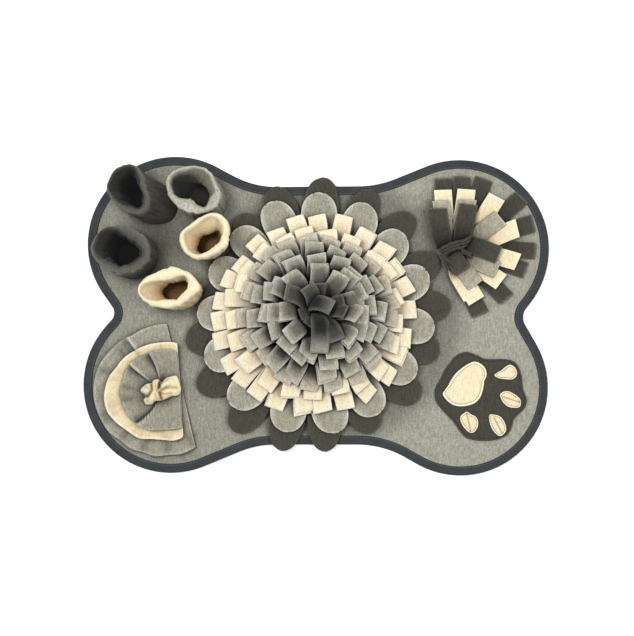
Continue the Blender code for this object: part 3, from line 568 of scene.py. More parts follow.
class ClothMesh:
    """A mesh in the making, with how pale its edges are (partly the cut cloth, partly a painted
    highlight), how deep its painted shade is in folds, gaps and undersides, and how far its colour
    is tinted."""

    def __init__(self):
        self.bm = bmesh.new()
        self.edge = self.bm.verts.layers.float.new("edge")
        self.depth = self.bm.verts.layers.float.new("depth")
        self.tint = self.bm.verts.layers.float.new("tint")
        self.tint_now = 0.0
        self.pale_now = 0.0

    def vertex(self, place, edge=0.0, depth=0.0):
        made = self.bm.verts.new(place)
        made[self.edge] = edge
        made[self.depth] = depth
        made[self.tint] = self.tint_now
        return made

    def band(self, ring, following, closed=True):
        count = len(ring)
        for i in range(count if closed else count - 1):
            j = (i + 1) % count
            self.bm.faces.new((ring[i], ring[j], following[j], following[i]))

    def skin(self, rings, closed=True, ends=False):
        """Bands from ring to ring, with a face over each end where asked."""
        for ring, following in zip(rings, rings[1:]):
            self.band(ring, following, closed)
        if ends:
            self.bm.faces.new(rings[0])
            self.bm.faces.new(rings[-1])

    def fill(self, ring):
        """Closes a wide ring with triangles, which soften faster than one big face."""
        bmesh.ops.triangulate(self.bm, faces=[self.bm.faces.new(ring)])

    def object(self, name, material, key, node=None, sharp=50, face_up=False):
        """The mesh as an object that rides on the mat. A flat cloth faces up, and other faces
        look outwards. Edges that bend by more than sharp degrees stay crisp."""
        if face_up:
            self.bm.normal_update()
            for face in self.bm.faces:
                if face.normal.z < 0:
                    face.normal_flip()
        else:
            bmesh.ops.recalc_face_normals(self.bm, faces=self.bm.faces)
        mesh = bpy.data.meshes.new(name)
        self.bm.to_mesh(mesh)
        self.bm.free()
        mesh.shade_smooth()
        if sharp:
            mesh.set_sharp_from_angle(angle=math.radians(sharp))
        mesh.materials.append(material)
        made = bpy.data.objects.new(name, mesh)
        pieces_collection().objects.link(made)
        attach(made, "root")
        if node:
            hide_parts(node)
        return made

    def piece(self, node, key, sharp=50, face_up=False):
        """The visible cloth of one node."""
        material = woven_tape() if key == "binding" else fleece(key)
        return self.object(node + "_cloth", material, key, node, sharp, face_up)


def thicken(made, thickness, offset=1.0, soft=True):
    """Gives a surface the thickness of its cloth, softens it where asked, and keeps the result as
    its mesh."""
    solidify = made.modifiers.new("cloth_thickness", "SOLIDIFY")
    solidify.thickness = thickness
    solidify.offset = offset
    if soft:
        made.modifiers.new("soft_surface", "SUBSURF").levels = 1
    graph = bpy.context.evaluated_depsgraph_get()
    mesh = bpy.data.meshes.new_from_object(made.evaluated_get(graph))
    made.modifiers.clear()
    made.data = mesh


# ---- strips ----
# A strip's section: how far across its half width, how far up its half thickness, how pale
# (partly the cut edge, partly a painted highlight)
STRIP_SECTION = (
    (-1.0, 0.0, 0.2), (-0.96, 0.64, 0.65), (-0.86, 0.92, 0.25), (-0.45, 1.0, 0.0),
    (0.0, 1.0, 0.0), (0.45, 1.0, 0.0), (0.86, 0.92, 0.25), (0.96, 0.64, 0.65), (1.0, 0.0, 0.2),
)
# shares of a strip's length at its sections; the last ones are close, so that the cut edge is
# crisp
STRIP_SHARES = (0.0, 0.15, 0.3, 0.42, 0.52, 0.62, 0.72, 0.82, 0.91, 0.975, 1.0)
STRIP_CUP = -0.5 * MM  # how far a strip's sides rise above its middle
CUT_THICKNESS = 0.62  # share of a strip's thickness at its cut end
TIP_LIT = 3.5 * MM  # length of a tip that isn't shaded at all


def bend(start, control, end, t):
    """A point of a quadratic curve, and the way it runs there."""
    point = start * (1 - t) ** 2 + control * 2 * t * (1 - t) + end * t * t
    way = (control - start) * (1 - t) + (end - control) * t
    return point, way.normalized()


def strip_frames(origin, angle, turn, path, widths, roll, cup, lean=0.0, shift=0.0,
                 full_at=0.55, fade=30 * MM, dark=0.0, deepest=1.0):
    """Frames of a strip whose middle line leaves its root at an angle and turns at its tip. The
    path is its start, control and end as distance out and height in millimetres; widths are the
    root's and the tip's, which it reaches at full_at. A painted shade darkens the cloth from its
    tip over fade, as far as deepest, and the whole strip at least as far as dark."""
    frames = []
    start, control, end = (Vector((r * MM, 0, z * MM)) for r, z in path)
    sideways = end.x * math.tan(math.radians(turn)) * 0.45
    length = (control - start).length * 0.75 + (end - control).length
    for t in STRIP_SHARES:
        middle, way = bend(start, control, end, t)
        heading = angle + turn * t
        out = Vector((*turned(way.x, 0, heading), way.z))
        side = Vector((*turned(0, 1, heading), 0))
        side = Matrix.Rotation(math.radians(roll) * t, 3, out) @ side
        place = origin + Vector((*turned(middle.x, 0, angle), middle.z)) + side * shift * t
        place -= side * sideways * 0.25 * (1 - t) * t * 4
        place += CROWN_LEAN * lean * (middle.z / CROWN_HEIGHT) ** 2
        spread = smooth_step(t / full_at)
        half_width = (widths[0] + (widths[1] - widths[0]) * spread) / 2
        folded = abs(cup) * (1 - spread) * 3 + cup * spread
        from_tip = (1 - t) * length
        depth = max(dark, deepest * smooth_step((from_tip - TIP_LIT) / fade))
        frames.append((place, side, out.cross(side), half_width, folded, depth))
    return frames


def add_ribbon(cloth, frames, thickness, root_tint=0.0, tip_tint=0.0):
    """A strip of cloth with rounded edges, with a painted shade on its sides and underside and
    paler edges and tip, partly the cut cloth and partly a painted highlight. Frames are rows of
    middle, across, normal, half width, cup (how far the sides rise) and depth of the painted shade.
    Its root and its tip can be tinted further than the rest. Gives back the strip's length."""
    rings = []
    last = len(frames) - 1
    plain = cloth.tint_now
    for i, (middle, across, normal, half_width, cup, depth) in enumerate(frames):
        cloth.tint_now = max(plain, root_tint * smooth_step(2 - 5 * i / last),
                             tip_tint * smooth_step(3 * i / last - 1.7))
        thin = CUT_THICKNESS if i == last else 1.0
        top, bottom = [], []
        for column, lift, pale in STRIP_SECTION:
            place = middle + across * half_width * column + normal * cup * column * column
            rise = normal * thickness / 2 * lift * thin
            side = lift == 0.0
            # The last two sections are paler, partly the cut end and partly a painted highlight;
            # the sides and the underside are in painted shade.
            pale = max(pale, 0.9 if i == last else 0.4 if i == last - 1 else 0.0)
            top.append(cloth.vertex(place + rise, min(1.0, max(0.0, pale + cloth.pale_now)),
                                    max(depth, 0.75) if side else depth))
            if not side:
                bottom.append(cloth.vertex(place - rise, 0.0, 1.0))
        rings.append((top, bottom))
    cloth.skin([top + bottom[::-1] for top, bottom in rings])
    top, bottom = rings[0]
    cloth.bm.faces.new(top + bottom[::-1])
    top, bottom = rings[last]
    out = (frames[last][0] - frames[last - 1][0]).normalized()
    rim = [
        cloth.vertex((a.co + b.co) / 2 + out * thickness * 0.2, 0.35, max(0.3, frames[last][5]))
        for a, b in zip(top[1:-1], bottom)
    ]
    cloth.tint_now = plain
    for row in (top[1:-1], bottom):
        cloth.band(row, rim, closed=False)
        for end in (0, -1):
            cloth.bm.faces.new((top[end], row[end], rim[end]))
    return sum((b[0] - a[0]).length for a, b in zip(frames, frames[1:]))


# ---- mat ----
PANEL_THICKNESS = 3.0 * MM
PANEL_PUCKER = 0.45 * MM
PANEL_SWELLS = ((30 * MM, 3, 1.0), (12 * MM, 5, 0.5))
PANEL_SAG = 0.6  # share of the pucker by which the cloth lies below its own height
TAPE_THICKNESS = 1.2 * MM
TAPE_SWELLS = ((22 * MM, 8, 0.3 * MM), (8 * MM, 2, 0.15 * MM))
TAPE_SAG = 0.25 * MM
STITCH_INSET = 2.2 * MM  # from the binding's inner edge
STITCH_SUNK = 0.05 * MM


def outline(inset, z=0.0):
    """Points of the mat's outline at a height, drawn in from its edge by inset, anticlockwise."""
    circles = [
        (Vector((x, y)) * MM, turn * radius * MM - inset) for x, y, radius, turn in OUTLINE_CIRCLES
    ]
    normals = []
    for i, (centre, radius) in enumerate(circles):
        following, next_radius = circles[(i + 1) % len(circles)]
        way = following - centre
        lean = math.acos((next_radius - radius) / way.length)
        normals.append(math.atan2(way.y, way.x) + lean)
    points = []
    for i, (centre, radius) in enumerate(circles):
        first, last = normals[i - 1], normals[i]
        sweep = (last - first) % math.tau
        if radius < 0:
            sweep -= math.tau
        low, high = sorted((first, first + sweep))
        between = range(math.floor(low / OUTLINE_STEP) + 1, math.ceil(high / OUTLINE_STEP))
        angles = [low] + [k * OUTLINE_STEP for k in between] + [high]
        for angle in angles if radius > 0 else reversed(angles):
            x, y = centre - radius * Vector((math.cos(angle), math.sin(angle)))
            points.append(Vector((x, y, z)))
    return points


def along_path(points, pitch):
    """Places at an even pitch round a closed path, each with the way the path runs there."""
    points = points + points[:1]
    lengths = [(b - a).length for a, b in zip(points, points[1:])]
    total = sum(lengths)
    count = max(1, round(total / pitch))
    places = []
    i, passed = 0, 0.0
    for k in range(count):
        target = total * k / count
        while i < len(lengths) - 1 and passed + lengths[i] < target:
            passed += lengths[i]
            i += 1
        way = (points[i + 1] - points[i]).normalized()
        places.append((points[i] + way * (target - passed), way))
    return places


def add_stitch(cloth, start, way, length, thread=0.45 * MM):
    """One stitch: a short bead of thread that dips into the cloth at both ends."""
    across = way.cross(UP).normalized()
    rings = []
    for share, size in ((-0.5, 0.25), (-0.3, 0.9), (0.3, 0.9), (0.5, 0.25)):
        middle = start + way * length * share + UP * thread * (0.5 * (size - 0.6))
        rings.append([
            cloth.vertex(middle + (across * math.cos(a) + UP * math.sin(a)) * thread * size)
            for a in (math.tau * k / 5 for k in range(5))
        ])
    cloth.skin(rings, ends=True)


class SNUFFLE_OT_mat(bpy.types.Operator):
    """Makes the base cloth, its binding and the stitches"""

    bl_idname = "snuffle.make_mat"
    bl_label = "Base cloth and binding"

    def execute(self, context):
        sizes = context.scene.snuffle_mat_sizes
        self.make_panel(sizes.binding_width)
        self.make_binding(sizes.binding_width)
        self.make_stitches(sizes)
        return {"FINISHED"}

    def make_panel(self, width):
        """Flat cloth whose rim rises into the binding and puckers a little along it."""
        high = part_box("mat_panel")[1].z
        lift = high - PANEL_THICKNESS
        rows = (
            # inset, bottom, top, pucker
            (1.8 * MM, lift, high, 0.0),
            (width * 0.6, lift, high, 0.0),
            (width + 0.5 * MM, lift * 0.9, high, 0.15),
            (width + 3 * MM, lift * 0.25, high - lift * 0.5, 0.6),
            (width + 7 * MM, 0.0, high - lift * 0.95, 1.0),
            (width + 14 * MM, 0.0, high - lift, 1.0),
            (width + 26 * MM, 0.0, high - lift, 0.7),
            (width + 45 * MM, 0.0, high - lift, 0.5),
            (width + 70 * MM, 0.0, high - lift, 0.4),
        )
        cloth = ClothMesh()
        upper, lower = [], []
        for inset, bottom, top, pucker in rows:
            ring = outline(inset)
            upper.append([
                cloth.vertex(p + UP * (
                    top + pucker * PANEL_PUCKER * (swell(p, PANEL_SWELLS) - PANEL_SAG)))
                for p in ring
            ])
            lower.append([cloth.vertex(p + UP * bottom) for p in ring])
        for rings in (upper, lower):
            cloth.skin(rings)
            cloth.bm.faces.new(rings[-1])
        cloth.band(upper[0], lower[0])
        made = cloth.piece("mat_panel", "mat")

    def make_binding(self, width):
        """Tape folded over the edge, a little uneven along its length."""
        low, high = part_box("edge_binding")
        tape, tall = TAPE_THICKNESS, high.z - low.z
        section = (
            # inset, height, how uneven
            (width, tape * 0.5, 0), (width * 0.97, 0.05 * MM, 0), (width * 0.5, 0.0, 0),
            (1.6 * MM, 0.0, 0), (0.35 * MM, tall * 0.18, 0), (0.0, tall * 0.5, 0),
            (0.35 * MM, tall * 0.8, 0.5), (1.7 * MM, tall * 0.97, 1), (4 * MM, tall, 1),
            (width * 0.6, tall * 0.985, 1), (width * 0.88, tall * 0.94, 0.6),
            (width * 0.985, tall * 0.9, 0.5), (width, tall - tape * 0.8, 0.4),
            (width * 0.98, tall - tape * 1.1, 0), (width * 0.5, tall - tape, 0),
            (tape, tall - tape * 1.05, 0), (tape, tape, 0), (width * 0.98, tape, 0),
        )
        cloth = ClothMesh()
        rings = []
        for inset, z, uneven in section:
            ring = []
            for place in outline(inset):
                place.z = low.z + z + uneven * (swell(place, TAPE_SWELLS) - TAPE_SAG)
                ring.append(cloth.vertex(place))
            rings.append(ring)
        cloth.skin(rings + rings[:1])
        made = cloth.piece("edge_binding", "binding", sharp=60)

    def make_stitches(self, sizes):
        """A row of lockstitch along the inner edge of the binding."""
        inset = sizes.binding_width - STITCH_INSET
        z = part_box("edge_binding")[1].z - STITCH_SUNK
        cloth = ClothMesh()
        for start, way in along_path(outline(inset, z), sizes.stitch_pitch):
            add_stitch(cloth, start, way, sizes.stitch_length)
        cloth.object("binding_stitches", sewing_thread("slate", "596064"), "binding")


# ---- petals ----
# share of the petal's length, share of its full width
PETAL_OUTLINE = (
    (0.0, 0.62), (0.1, 0.72), (0.22, 0.84), (0.36, 0.94), (0.5, 1.0), (0.62, 1.0),
    (0.73, 0.95), (0.82, 0.85), (0.89, 0.72), (0.945, 0.55), (0.975, 0.38), (0.993, 0.2),
)
PETAL_COLUMNS = (-1.0, -0.93, -0.6, -0.3, 0.0, 0.3, 0.6, 0.93, 1.0)
PETAL_CLOTH = 2.0 * MM
PETAL_GAP = 2.0  # between neighbours
PETAL_CREASE = (1.3, 0.16)  # depth, and width as a share of the petal's half width
PETAL_CUP = 0.9  # how far the sides rise
PETAL_SWELL = (20 * MM, 0.5 * MM)  # size and height


class SNUFFLE_OT_petals(bpy.types.Operator):
    """Makes the two flower-shaped cuts under the fringe"""

    bl_idname = "snuffle.make_petals"
    bl_label = "Petals"

    def execute(self, context):
        self.make_flower_cut("petals_charcoal", "charcoal", CHARCOAL_PETALS, 0.37, 0.118)
        self.make_flower_cut("petals_grey", "grey", GREY_PETALS, 0.36, 0.092)
        return {"FINISHED"}

    def make_flower_cut(self, name, key, petals, flat, area):
        low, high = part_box(name)
        rise = high.z - low.z - PETAL_CLOTH
        chance = random.Random(len(petals))
        rim_pale = 0.1 if key == "charcoal" else 1.0
        cloth = ClothMesh()
        rim = []
        for i, (angle, reach) in enumerate(petals):
            near = min(
                (petals[(i + 1) % len(petals)][0] - angle) % 360, (angle - petals[i - 1][0]) % 360
            )
            room = (PETAL_ROOT + reach) * math.tan(math.radians(near / 2)) - PETAL_GAP
            half_width = min(PETAL_WIDTH, room) / 2
            sway = chance.uniform(-1.5, 1.5)
            lift_share = chance.uniform(0.8, 1.0)
            crease = chance.uniform(0.4, 1.0)
            tilt = chance.uniform(-0.6, 0.6)
            rows = []
            for share, width_share in PETAL_OUTLINE:
                along = PETAL_ROOT + share * (reach - PETAL_ROOT)
                lift = rise * lift_share * smooth_step(share / 0.6) * (1 - 0.15 * share**3)
                # A painted shade: the petal darkens towards its root, under the fringe.
                depth = 0.75 * (1 - smooth_step(share / 0.75))
                dent = crease * PETAL_CREASE[0] * (1 - share) ** 1.2
                row = []
                for column in PETAL_COLUMNS:
                    x, y = turned(
                        along - 1.5 * column * column * share**6,
                        column * half_width * width_share,
                        angle + sway * share**2,
                    )
                    curl = column * column * PETAL_CUP * math.sin(math.pi * min(1, share))
                    curl -= dent * math.exp(-((column / PETAL_CREASE[1]) ** 2))
                    roll = tilt * column * share
                    place = FLOWER + Vector((x, y, 0)) * MM
                    place.z = low.z + lift + (curl + roll) * MM
                    place.z += swell(place, [(PETAL_SWELL[0], i, PETAL_SWELL[1])]) * share
                    # The rim is paler, partly the cut edge and partly a painted highlight.
                    at_edge = abs(column) == 1.0 or share > 0.99
                    near_edge = abs(column) > 0.9 or share > 0.97
                    pale = rim_pale if at_edge else 0.35 * rim_pale if near_edge else 0.0
                    row.append(cloth.vertex(place, pale, depth))
                rows.append(row)
            cloth.skin(rows, closed=False)
            rim += rows[0]
        cloth.fill(rim)
        made = cloth.piece(name, key, sharp=None, face_up=True)
        thicken(made, PETAL_CLOTH)


# ---- flower ----
# section of the band that a ring's strips are sewn on, as distance from its middle and height
SEWN_BAND = ((-2.5, 0), (-2.5, 2.6), (-1.6, 3.0), (1.6, 3.0), (2.5, 2.6), (2.5, 0))
BAND_POINTS = 72
INNER_ROOT = 40  # rings whose roots lie nearer the middle get a shorter, lighter painted shade between their strips
TWO_PLY_SHARE = 0.45
PLY_THICKNESS = 0.55  # share of a folded strip's thickness


class SNUFFLE_OT_flower(bpy.types.Operator):
    """Makes the rings of folded strips and the strips of the crown"""

    bl_idname = "snuffle.make_flower"
    bl_label = "Fringed flower"

    def execute(self, context):
        sizes = context.scene.snuffle_strip_sizes
        for ring_index, row in enumerate(FRINGE_RINGS):
            self.make_ring(row, ring_index, sizes)
        self.make_crown("fringe_charcoal", CROWN_STRIPS, sizes)
        self.make_crown("fringe_charcoal_tuft", TUFT_STRIPS, sizes)
        return {"FINISHED"}

    def make_ring(self, row, ring_index, sizes):
        name, key, root, control, control_z, tip, tip_z, root_width, tint, strips = row
        chance = random.Random(sizes.seed * 100 + ring_index)
        stray = sizes.unruliness
        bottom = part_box(name)[0].z / MM
        fade, deepest = (18 * MM, 0.72) if root < INNER_ROOT else (30 * MM, 1.0)
        cloth = ClothMesh()
        # A painted highlight: the flower's cream strips are drawn paler all over.
        cloth.pale_now = 0.35 if key == "cream" else 0.0
        length = 0.0
        self.add_sewn_band(cloth, root, bottom)
        for index, (angle, reach, turn) in enumerate(strips):
            cloth.tint_now = tint * chance.uniform(0.45, 1.0)
            height = tip_z + 0.72 * (tip - reach) + stray * (1.1 if index % 2 else -1.1)
            roll = stray * chance.uniform(-7, 7)
            # Some strips are two loose plies, and the rest are sewn through into one.
            plies = (-1, 1) if chance.random() < TWO_PLY_SHARE else (0,)
            thickness = sizes.fold if plies == (0,) else sizes.fold * PLY_THICKNESS
            for ply in plies:
                offset = ply * (thickness / MM / 2 + 0.1)
                step = chance.uniform(0.5, 5.0) if ply > 0 else 0.0
                path = (
                    (root - offset, bottom + 2.6),
                    (control - offset * 0.7, control_z + offset * 0.6),
                    (reach - step * 0.85 + offset * 0.1, height + offset + step * 0.3),
                )
                frames = strip_frames(
                    FLOWER, angle, turn + chance.uniform(1, 3) * stray * (ply < 0), path,
                    (root_width * MM, sizes.width), roll, STRIP_CUP, lean=1.0, fade=fade,
                    deepest=deepest,
                    shift=chance.choice((-1.5, 1.5)) * stray * MM if ply < 0 else 0.0,
                )
                length += add_ribbon(cloth, frames, thickness)
        made = cloth.piece(name, key)

    def add_sewn_band(self, cloth, root, bottom):
        """The narrow band that a ring's strips are sewn on, darkened by a painted shade."""
        rings = []
        for off, z in SEWN_BAND:
            rings.append([
                cloth.vertex(FLOWER + Vector((*turned(root + off, 0, angle), bottom + z)) * MM,
                             depth=0.9)
                for angle in (360 * k / BAND_POINTS for k in range(BAND_POINTS))
            ])
        cloth.skin(rings + rings[:1])

    def make_crown(self, name, strips, sizes):
        """The dark strips, which start near the middle and fall over the others."""
        cloth = ClothMesh()
        length = 0.0
        for heading, turn, control, end, shift, width, roll, pale_tip in strips:
            start = (max(0, control[0] - 2), CROWN_ROOT_Z)
            # A painted shade darkens each strip from its tip inwards; the strips whose tips are not
            # pale are darker all along.
            frames = strip_frames(
                FLOWER, heading, turn, (start, control, end), (CROWN_ROOT_WIDTH, width * MM),
                roll, STRIP_CUP, lean=1.0, shift=shift * MM, fade=40 * MM,
                dark=0.35 * (1 - pale_tip), deepest=0.95,
            )
            length += add_ribbon(cloth, frames, sizes.fold, tip_tint=pale_tip)
        made = cloth.piece(name, "charcoal")


# ---- pouches ----
POUCH_CLOTH = 2.0 * MM
POUCH_ANGLES = [360 * k / 72 for k in range(72)]
POUCH_FOLD_DROP = 4.5  # how far the rolled rim falls away to either side
POUCH_FLOOR = 0.7  # the floor's share of the base
# how dark the painted shade inside a pouch of each cloth grows down to its throat
DARK_INSIDE = {"charcoal": 3.0, "grey": 2.2, "cream": 0.65}
# Sizes of swells are on a circle of radius 1 that stands for the pouch, however wide it is.
POUCH_CRUMPLES = ((0.5, 1.5), (0.17, 0.9))  # size, and millimetres outwards
POUCH_GATHERS = 0.09
GATHERED_WALL, GATHERED_THROAT = 2.4, 1.5  # millimetres
POUCH_SAG = (0.6, 1.8, 0.8)  # size, millimetres up and down, and millimetres down all round


class SNUFFLE_OT_pouches(bpy.types.Operator):
    """Makes the five open pouches with their turned-over rims"""

    bl_idname = "snuffle.make_pouches"
    bl_label = "Pouches"

    def execute(self, context):
        for index, row in enumerate(POUCHES):
            self.make_pouch(index, row)
        return {"FINISHED"}

    def loop(self, x, y, reaches):
        """Points round x, y at the reaches."""
        return [
            Vector((x, y)) + Vector(turned(round_value(reaches, angle), 0, angle))
            for angle in POUCH_ANGLES
        ]

    def base_loop(self, x, y, half_long, half_short, turn):
        """Points of an oval round x, y."""
        made = []
        for degrees in POUCH_ANGLES:
            angle = math.radians(degrees) - math.radians(turn)
            place = turned(half_long * math.cos(angle), half_short * math.sin(angle), turn)
            made.append(Vector((x, y)) + Vector(place))
        return made

    def sections(self, key, height, base, rim, opening, throat, floor):
        """Rows up the outer wall, over the rim, down to the throat and on to the floor: from
        loop, to loop, share between them, height, how crumpled, how deep the painted shade is, and
        how pale, partly the fuzz of the rolled rim and partly a painted highlight."""
        shoulder = height - POUCH_FOLD_DROP
        rows = []
        for share in (0, 0.05, 0.14, 0.26, 0.4, 0.54, 0.68, 0.82, 0.93):
            hem = 0.05 * (1 - smooth_step(share / 0.14))
            full = 0.1 * math.sin(math.pi * share)
            rows.append((base, rim, smooth_step(share) - hem + full, shoulder * share,
                         0.4 + share, 0.5 * (1 - share), 0.5 * smooth_step(share * 4 - 3)))
        for share in (0.0, 0.12, 0.3, 0.5, 0.7, 0.88, 1.0):
            z = height - POUCH_FOLD_DROP * (2 * share - 1) ** 2
            rows.append((rim, opening, share, z, 0.9, 0.0, 0.5 * (1 - share) ** 2 + 0.12))
        for share in (0.12, 0.28, 0.45, 0.62, 0.8, 1.0):
            rows.append((opening, throat, smooth_step(share), shoulder * (1 - 0.5 * share),
                         1.1, share * DARK_INSIDE[key], 0.0))
        for share in (0.3, 0.65, 1.0):
            z = shoulder * 0.5 * (1 - share) + 2.6 * share
            rows.append((throat, floor, smooth_step(share), z, 0.6, self.floor_painted_shade(key), 0.0))
        return rows

    # How deep the painted shade on a pouch's floor is; a cream floor is darkened mostly through its
    # dark tint.
    def floor_painted_shade(self, key):
        return 0.3 if key == "cream" else 1.0

    def make_pouch(self, index, row):
        name, key, height, painted_shade_side, base_row, rim, opening, throat = row
        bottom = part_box(name)[0].z / MM
        x, y, half_long, half_short, turn = base_row
        floor = self.base_loop(x, y, half_long * POUCH_FLOOR, half_short * POUCH_FLOOR, turn)
        base, rim, opening, throat = (
            self.base_loop(*base_row), self.loop(*rim), self.loop(*opening), self.loop(*throat))
        sag_size, sag_far, sag_down = POUCH_SAG
        cloth = ClothMesh()
        rings = []
        for first, second, share, z, crumpled, depth, pale in self.sections(
                key, height, base, rim, opening, throat, floor):
            # Below the throat of a cream pouch a painted shade darkens the floor, through the
            # cream's dark tint.
            cloth.tint_now = 1.0 if key == "cream" and first is throat else 0.0
            ring = []
            for k, degrees in enumerate(POUCH_ANGLES):
                angle = math.radians(degrees)
                way = Vector((math.cos(angle), math.sin(angle)))
                around = Vector((*way, z / height * 0.5))
                crumple = swell(around, [(size, index, far) for size, far in POUCH_CRUMPLES])
                gather = wobble(Vector((*way, z / height * 0.15)), POUCH_GATHERS, index)
                gather *= GATHERED_WALL if second is rim else GATHERED_THROAT
                place = first[k].lerp(second[k], share) + way * (crumple + gather) * crumpled
                sag = wobble(Vector((*way, 3)), sag_size, index) * sag_far - sag_down
                lift = sag * smooth_step(z / height)
                shaded = depth
                # A painted shade in the valleys of the gathers on the outer wall, and inside the
                # pouch, darkest on one side.
                if second is rim:
                    shaded += max(0.0, -gather) * 0.3
                if second is throat:
                    shaded *= 1 + 0.7 * math.cos(angle - math.radians(painted_shade_side))
                ring.append(cloth.vertex(Vector((place.x, place.y, bottom + z + lift)) * MM,
                                         pale, min(1.0, shaded)))
            rings.append(ring)
        middle = Vector((x, y))
        for share in (0.9, 0.5, 0.1):
            rings.append([
                cloth.vertex(Vector((*middle.lerp(place, share), bottom + 2.4)) * MM, 0.0,
                             self.floor_painted_shade(key))
                for place in floor
            ])
        cloth.fill(rings[-1])
        cloth.skin(rings)
        made = cloth.piece(name, key, sharp=None)
        thicken(made, POUCH_CLOTH, offset=-1.0)


# ---- corner fringe ----
CORNER_CLOTH = 2.8 * MM
CORNER_CUP = -0.6 * MM
# how pale the edges of the corner's strips are beside those of the flower, partly the cut cloth
# and partly a painted highlight
CORNER_PALENESS = {"charcoal": -0.4, "grey": -0.35, "cream": 0.0}
# each fold of the knot: sections less one, points round it, and how far it bows sideways
ROLL_STEPS = 14
ROLL_POINTS = 20
ROLL_BOW = 1.6
ROLL_SWELL = (5, 0.5)  # size, and share of the radius


class SNUFFLE_OT_corner(bpy.types.Operator):
    """Makes the fanned strips of the corner and their gathered knot"""

    bl_idname = "snuffle.make_corner"
    bl_label = "Corner fringe"

    def execute(self, context):
        sizes = context.scene.snuffle_strip_sizes
        for index, row in enumerate(CORNER_LAYERS):
            self.make_layer(index, row, sizes)
        self.make_knot()
        return {"FINISHED"}

    def make_layer(self, index, row, sizes):
        name, key, root_z, tip_z, root_width, strips = row
        chance = random.Random(40 + index)
        cloth = ClothMesh()
        cloth.tint_now = 0.2 if key == "grey" else 0.0
        cloth.pale_now = CORNER_PALENESS[key]
        # The cream strips' roots are tinted dark towards the knot, a painted shade.
        root_tint, deepest = (1.0, 0.55) if key == "cream" else (0.0, 1.0)
        length = 0.0
        for count, (root_x, root_y, tip_x, tip_y, turn) in enumerate(strips):
            way = Vector((tip_x - root_x, tip_y - root_y))
            lift = 0.5 if count % 2 else -0.4
            arch = chance.uniform(0.5, 1.6) if index else 0.4
            path = ((0, root_z), (way.length * 0.4, tip_z + arch + lift),
                    (way.length, tip_z + lift))
            # The lowest layer's strips are cut a little narrower.
            cut = sizes.width * (chance.uniform(0.96, 1.04) - (0.0 if index else 0.07))
            frames = strip_frames(
                CORNER + Vector((root_x, root_y, 0)) * MM,
                math.degrees(math.atan2(way.y, way.x)) - turn * 0.3, turn, path,
                (root_width * MM, cut), chance.uniform(-2, 2), CORNER_CUP, full_at=0.42,
                fade=60 * MM, deepest=deepest,
            )
            length += add_ribbon(cloth, frames, CORNER_CLOTH, root_tint=root_tint)
        made = cloth.piece(name, key)

    def make_knot(self):
        """The rolled folds that hold the strips' roots."""
        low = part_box("corner_knot")[0].z / MM
        cloth = ClothMesh()
        for index, (x, y, z, x_2, y_2, z_2, radius) in enumerate(KNOT_ROLLS):
            start, end = Vector((x, y, low + z)), Vector((x_2, y_2, low + z_2))
            way = (end - start).normalized()
            side = way.cross(UP).normalized()
            up = side.cross(way)
            rings = []
            for step in range(ROLL_STEPS + 1):
                t = step / ROLL_STEPS
                full = max(0.12, 1 - abs(2 * t - 1) ** 5) ** 0.6
                bow = math.sin(math.pi * t) * ROLL_BOW * (1 if index % 2 else -1)
                ring = []
                for k in range(ROLL_POINTS):
                    angle = math.tau * k / ROLL_POINTS
                    round_place = side * math.cos(angle) + up * math.sin(angle)
                    place = start.lerp(end, t) + side * bow
                    uneven = 1 + ROLL_SWELL[1] * wobble(
                        place + round_place * 4, ROLL_SWELL[0], index)
                    place += round_place * radius * full * uneven
                    place.z = max(place.z, low)
                    # A painted shade on the underside and sides of each fold.
                    depth = 1 - 0.95 * smooth_step((math.sin(angle) - 0.2) / 0.8)
                    ring.append(cloth.vertex(CORNER + place * MM, 0.0, depth))
                rings.append(ring)
            cloth.skin(rings, ends=True)
        made = cloth.piece("corner_knot", "charcoal", sharp=None)


# ---- ruffle ----
RUFFLE_ANGLES = [360 * k / 240 for k in range(240)]
RUFFLE_SHARES = (0.04, 0.1, 0.17, 0.25, 0.34, 0.43, 0.52, 0.61, 0.7, 0.79, 0.87, 0.94, 0.985, 1.0)
RUFFLE_CLOTH = 2.0
RUFFLE_GAP = 0.3
RUFFLE_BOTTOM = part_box("ruffle_grey_wide")[0].z / MM
RUFFLE_GATHERS = (0.16, 0.55)  # size on a circle of radius 1, and millimetres
RUFFLE_SWELL = (14 * MM, 0.5 * MM)  # size and height
# A painted highlight along the hem: how pale it is, and the share of the way out where it begins.
HEM_PALE = {"cream": 0.5, "grey": 0.22}
HEM_BEGINS = 0.98
SHARP_PLEAT = 6  # degrees: a pleat whose narrow side is less has a fold that catches light


def row_value(rows, x):
    """A value between rows of x and value."""
    for (low, first), (high, second) in zip(rows, rows[1:]):
        if low <= x <= high:
            return first + (second - first) * (x - low) / (high - low)
    return rows[0][1] if x < rows[0][0] else rows[-1][1]


def ruffle_reach(layer, angle):
    """How far a ruffle's hem lies from its middle: its arc, cut off by a slanting straight side."""
    side_x, slant, _, hem, _ = RUFFLE_LAYERS[layer][2:]
    arc = sum(row_value(hem, (angle - 30) % 360 + 30 + more) for more in (-3, 0, 3)) / 3
    facing = math.cos(math.radians(angle)) + slant * math.sin(math.radians(angle))
    return min(arc, side_x / facing) if facing > 0 else arc


def off_pleat(pleat, angle, share):
    """How many degrees past the line of a pleat an angle is, at a share of the way out."""
    at_hem, in_middle = pleat[:2]
    return (angle - at_hem - (in_middle - at_hem) * (1 - share) + 180) % 360 - 180


